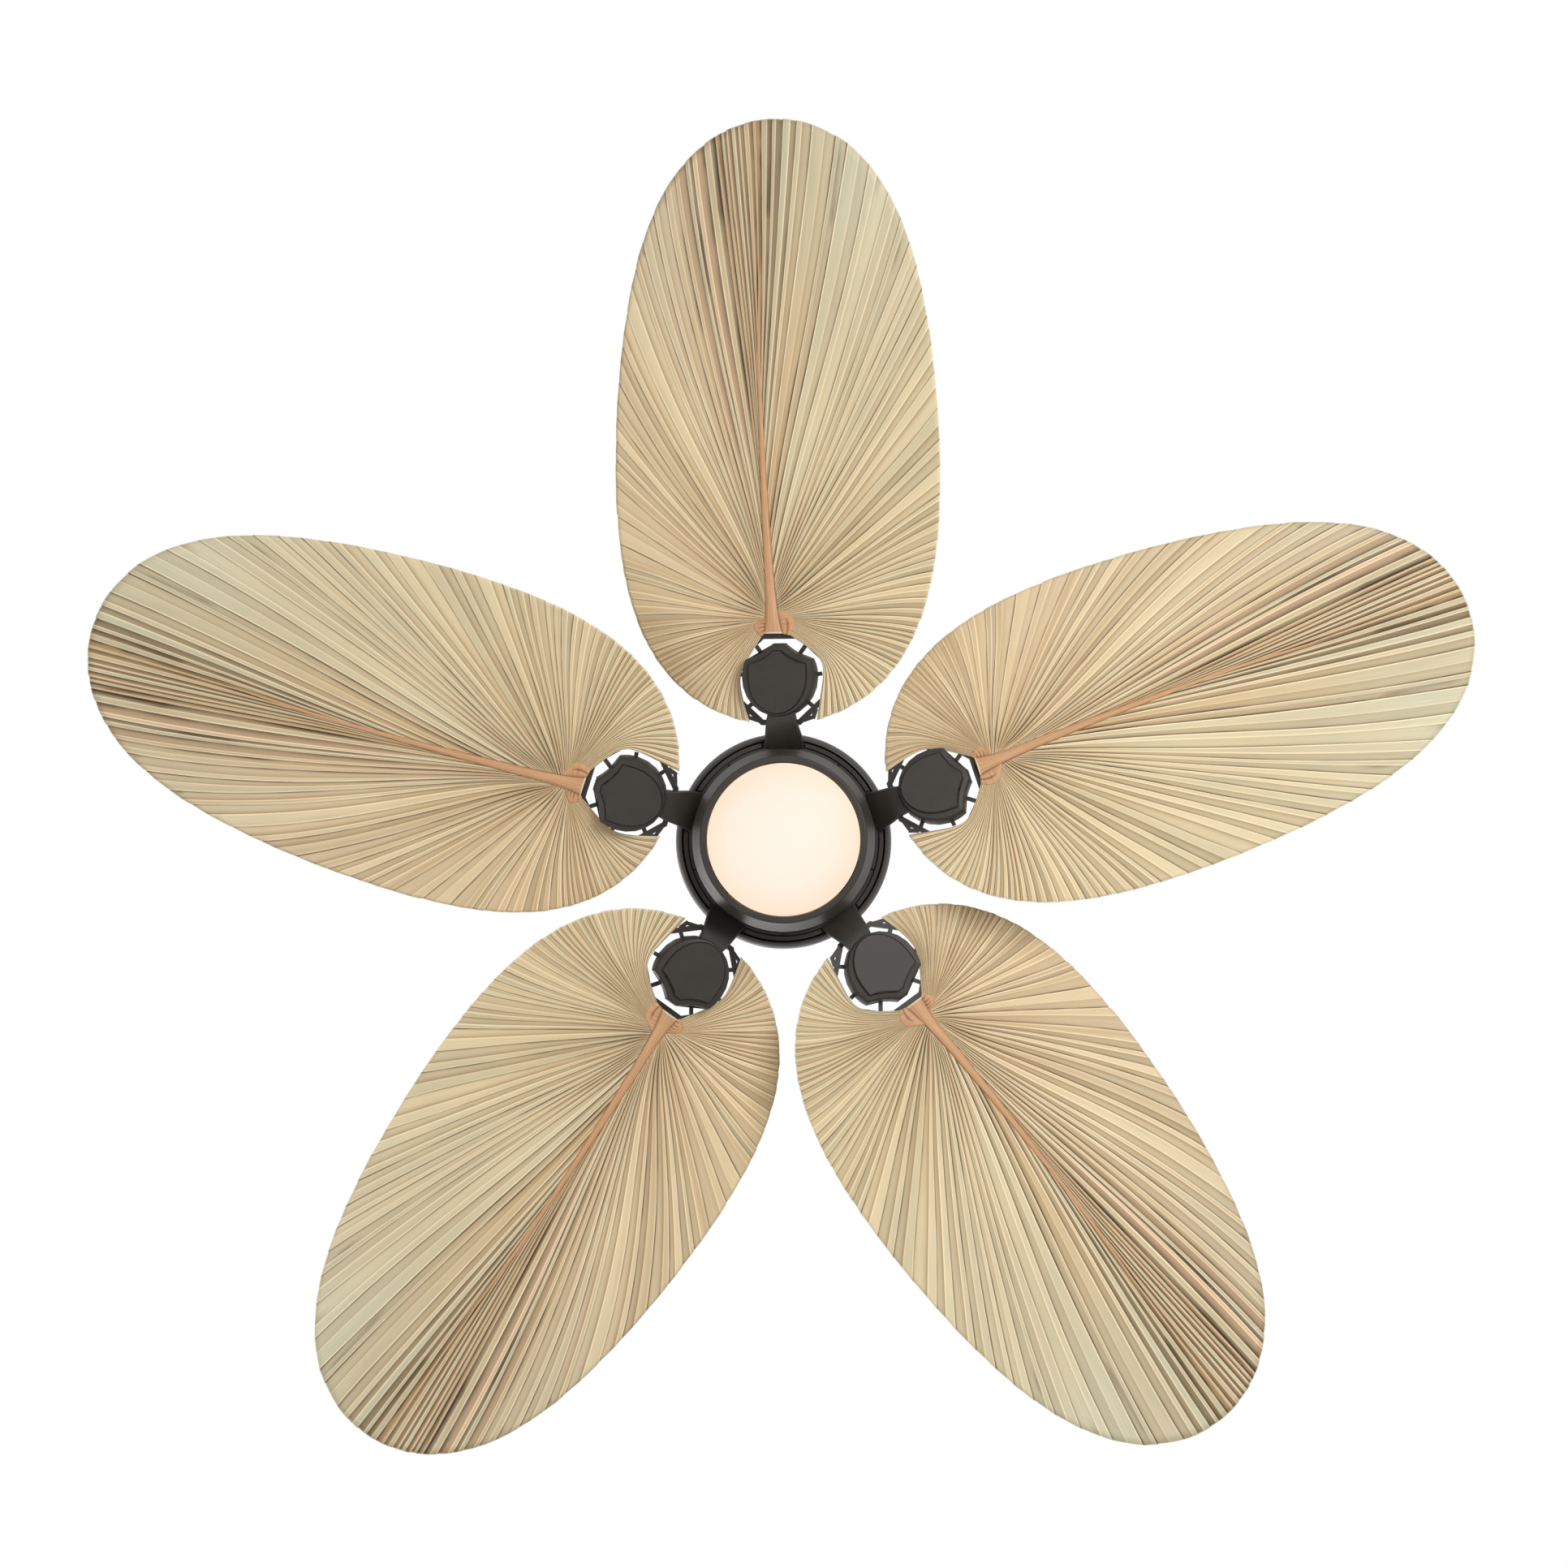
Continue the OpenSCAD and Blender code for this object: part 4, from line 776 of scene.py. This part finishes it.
# Darker colour, lighter colour, roughness, how metallic, and where it isn't 0.5 the specular level
FINISHES = {
    "bronze": ((43, 38, 34), (57, 51, 45), 0.52, 0.0, 0.4),
    "bronze_hub": ((40, 36, 32), (54, 48, 43), 0.5, 0.0, 0.4),
    "zinc": ((150, 150, 146), (186, 186, 180), 0.35, 0.9),
    "cast_aluminium": ((160, 160, 158), (186, 186, 184), 0.5, 0.9),
    "bright_steel": ((176, 176, 172), (204, 204, 200), 0.25, 1.0),
    "lamination": ((88, 88, 92), (120, 120, 124), 0.45, 0.8),
    "copper_wire": ((150, 84, 44), (190, 112, 64), 0.35, 0.8),
    "bronze_cage": ((160, 124, 66), (190, 154, 92), 0.35, 0.9),
    "black_plastic": ((24, 24, 25), (34, 34, 35), 0.5, 0.0),
    "white_plastic": ((212, 212, 206), (226, 226, 221), 0.5, 0.0),
    "circuit_board": ((222, 222, 216), (236, 236, 231), 0.35, 0.0),
    "led": ((236, 214, 120), (246, 228, 150), 0.4, 0.0),
}
MATERIALS = {name: clouded_material(name, *finish) for name, finish in FINISHES.items()}
MATERIALS.update(leaf=leaf_material(), stem=stem_material(), opal=opal_material())


# ---- Pieces ----

def paint_cad_nodes():
    for part in frame["record"]["subparts"]:
        obj = frame["nodes"][part["node"]]
        obj.data.materials.clear()
        obj.data.materials.append(MATERIALS[part["material_slot"]])


def attach(obj, body, material, stands_for=None):
    obj.data.materials.clear()
    obj.data.materials.append(MATERIALS[material])
    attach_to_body(obj, body)
    if stands_for:
        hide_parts(stands_for)


def build_leaves():
    points, faces, paint = leaf_sheet()
    extras = {"leaf_stem": stem_sheet(), "leaf_ear_minus": ear_sheet(-1), "leaf_ear_plus": ear_sheet(1)}
    for k in range(BLADES):
        leaf = mesh_object(f"leaf_{k + 1}", to_blade(points, k), faces, paint)
        attach(leaf, "rotor", "leaf", f"palm_leaf_{k + 1}")
        for name, (extra_points, extra_faces, extra_paint) in extras.items():
            piece = mesh_object(f"{name}_{k + 1}", to_blade(extra_points, k), extra_faces, extra_paint)
            attach(piece, "rotor", "stem")


def soften(source, name, sharp):
    """A copy of a CAD node with merged faces, smooth shading and narrow bevels along its sharp edges."""
    mesh = source.data.copy()
    mesh.name = name
    work = bmesh.new()
    work.from_mesh(mesh)
    bmesh.ops.remove_doubles(work, verts=work.verts, dist=1e-6)
    bmesh.ops.dissolve_limit(work, angle_limit=math.radians(0.5), verts=work.verts, edges=work.edges)
    for face in work.faces:
        face.smooth = True
    for edge in work.edges:
        edge.smooth = edge.calc_face_angle(0.0) < sharp
    work.to_mesh(mesh)
    work.free()
    obj = bpy.data.objects.new(name, mesh)
    bpy.context.scene.collection.objects.link(obj)
    bevel = obj.modifiers.new("edges", "BEVEL")
    bevel.width = 0.25 * MM
    bevel.segments = 2
    bevel.limit_method = "ANGLE"
    bevel.angle_limit = sharp
    bevel.harden_normals = True
    return obj


def build_irons():
    for k in range(1, BLADES + 1):
        iron = soften(frame["nodes"][f"blade_iron_{k}"], f"iron_{k}", math.radians(32))
        attach(iron, "rotor", "bronze", f"blade_iron_{k}")


# ---- Studio, in metres ----

def area_light(name, place, aim, size, watts):
    data = bpy.data.lights.new(name, "AREA")
    data.shape = "DISK"
    data.size = size
    data.energy = watts
    obj = bpy.data.objects.new(name, data)
    obj.location = place
    obj.rotation_euler = (Vector(aim) - Vector(place)).to_track_quat("-Z", "Y").to_euler()
    bpy.context.scene.collection.objects.link(obj)


def build_world():
    """White where the camera, gloss and glass see it, and a softer fill on the fan."""
    world = bpy.data.worlds.new("studio")
    bpy.context.scene.world = world
    world.use_nodes = True
    tree = world.node_tree
    tree.nodes.clear()
    out = tree.nodes.new("ShaderNodeOutputWorld")
    rays = tree.nodes.new("ShaderNodeLightPath").outputs
    seen = math_node(tree, "MAXIMUM", rays["Is Glossy Ray"], rays["Is Transmission Ray"])
    seen = math_node(tree, "MAXIMUM", rays["Is Camera Ray"], seen)
    backdrop = node(tree, "ShaderNodeBackground", {"Color": (1, 1, 1, 1), "Strength": 1.0})
    fill = node(tree, "ShaderNodeBackground", {"Color": (1, 1, 1, 1), "Strength": 0.45})
    mixed = node(tree, "ShaderNodeMixShader", {0: seen, 1: fill.outputs[0], 2: backdrop.outputs[0]})
    tree.links.new(mixed.outputs[0], out.inputs[0])


def build_floor():
    """Lies so far below the fan that the camera, which looks up, stands above it."""
    floor_z, reach = -6.9, 40.0
    corners = [(x * reach, y * reach, floor_z) for x, y in ((-1, -1), (1, -1), (1, 1), (-1, 1))]
    floor = mesh_object("floor", corners, [(0, 1, 2, 3)])
    material, tree, shader = nodes_of("pale_floor")
    grain = node(tree, "ShaderNodeTexNoise", {"Scale": 4.0, "Detail": 3.0}).outputs["Fac"]
    pale = mix_node(tree, grain, rgb(238, 238, 236), rgb(246, 246, 245))
    tree.links.new(pale, shader.inputs["Base Color"])
    shader.inputs["Roughness"].default_value = 0.8
    shader.inputs["Emission Color"].default_value = (1, 1, 1, 1)
    camera_ray = tree.nodes.new("ShaderNodeLightPath").outputs["Is Camera Ray"]
    tree.links.new(math_node(tree, "MULTIPLY", camera_ray, 0.45), shader.inputs["Emission Strength"])
    floor.data.materials.append(material)


def build_studio():
    build_world()
    area_light("key", (-1.4, 1.2, -2.6), (0, 0, -0.25), 1.6, 60)
    area_light("fill", (1.8, -1.0, -2.4), (0, 0, -0.25), 2.0, 26)
    area_light("top", (0.6, -0.8, 2.4), (0, 0, -0.2), 2.0, 22)
    build_floor()


def build_camera():
    """The photo looks straight up, a touch from the side of the lower blades."""
    distance = 6.0
    frame_px = 1932
    mm_per_px = 0.7412
    axis_px = (965.5, 1036.0)
    lean = math.radians(1.5)
    data = bpy.data.cameras.new("camera")
    data.sensor_width = 36.0
    data.lens = data.sensor_width * distance / (frame_px * mm_per_px * MM)
    data.clip_end = 50
    camera = bpy.data.objects.new("camera", data)
    target = Vector(((axis_px[0] - frame_px / 2) * mm_per_px * MM,
                     (axis_px[1] - frame_px / 2) * mm_per_px * MM, PITCH_AXIS_Z * MM))
    camera.location = target + Vector((0, -distance * math.sin(lean), -distance * math.cos(lean)))
    camera.rotation_euler = (lean, math.pi, 0)
    bpy.context.scene.collection.objects.link(camera)
    bpy.context.scene.camera = camera


bpy.context.scene.view_settings.view_transform = "Standard"
paint_cad_nodes()
build_leaves()
build_irons()
build_studio()
build_camera()
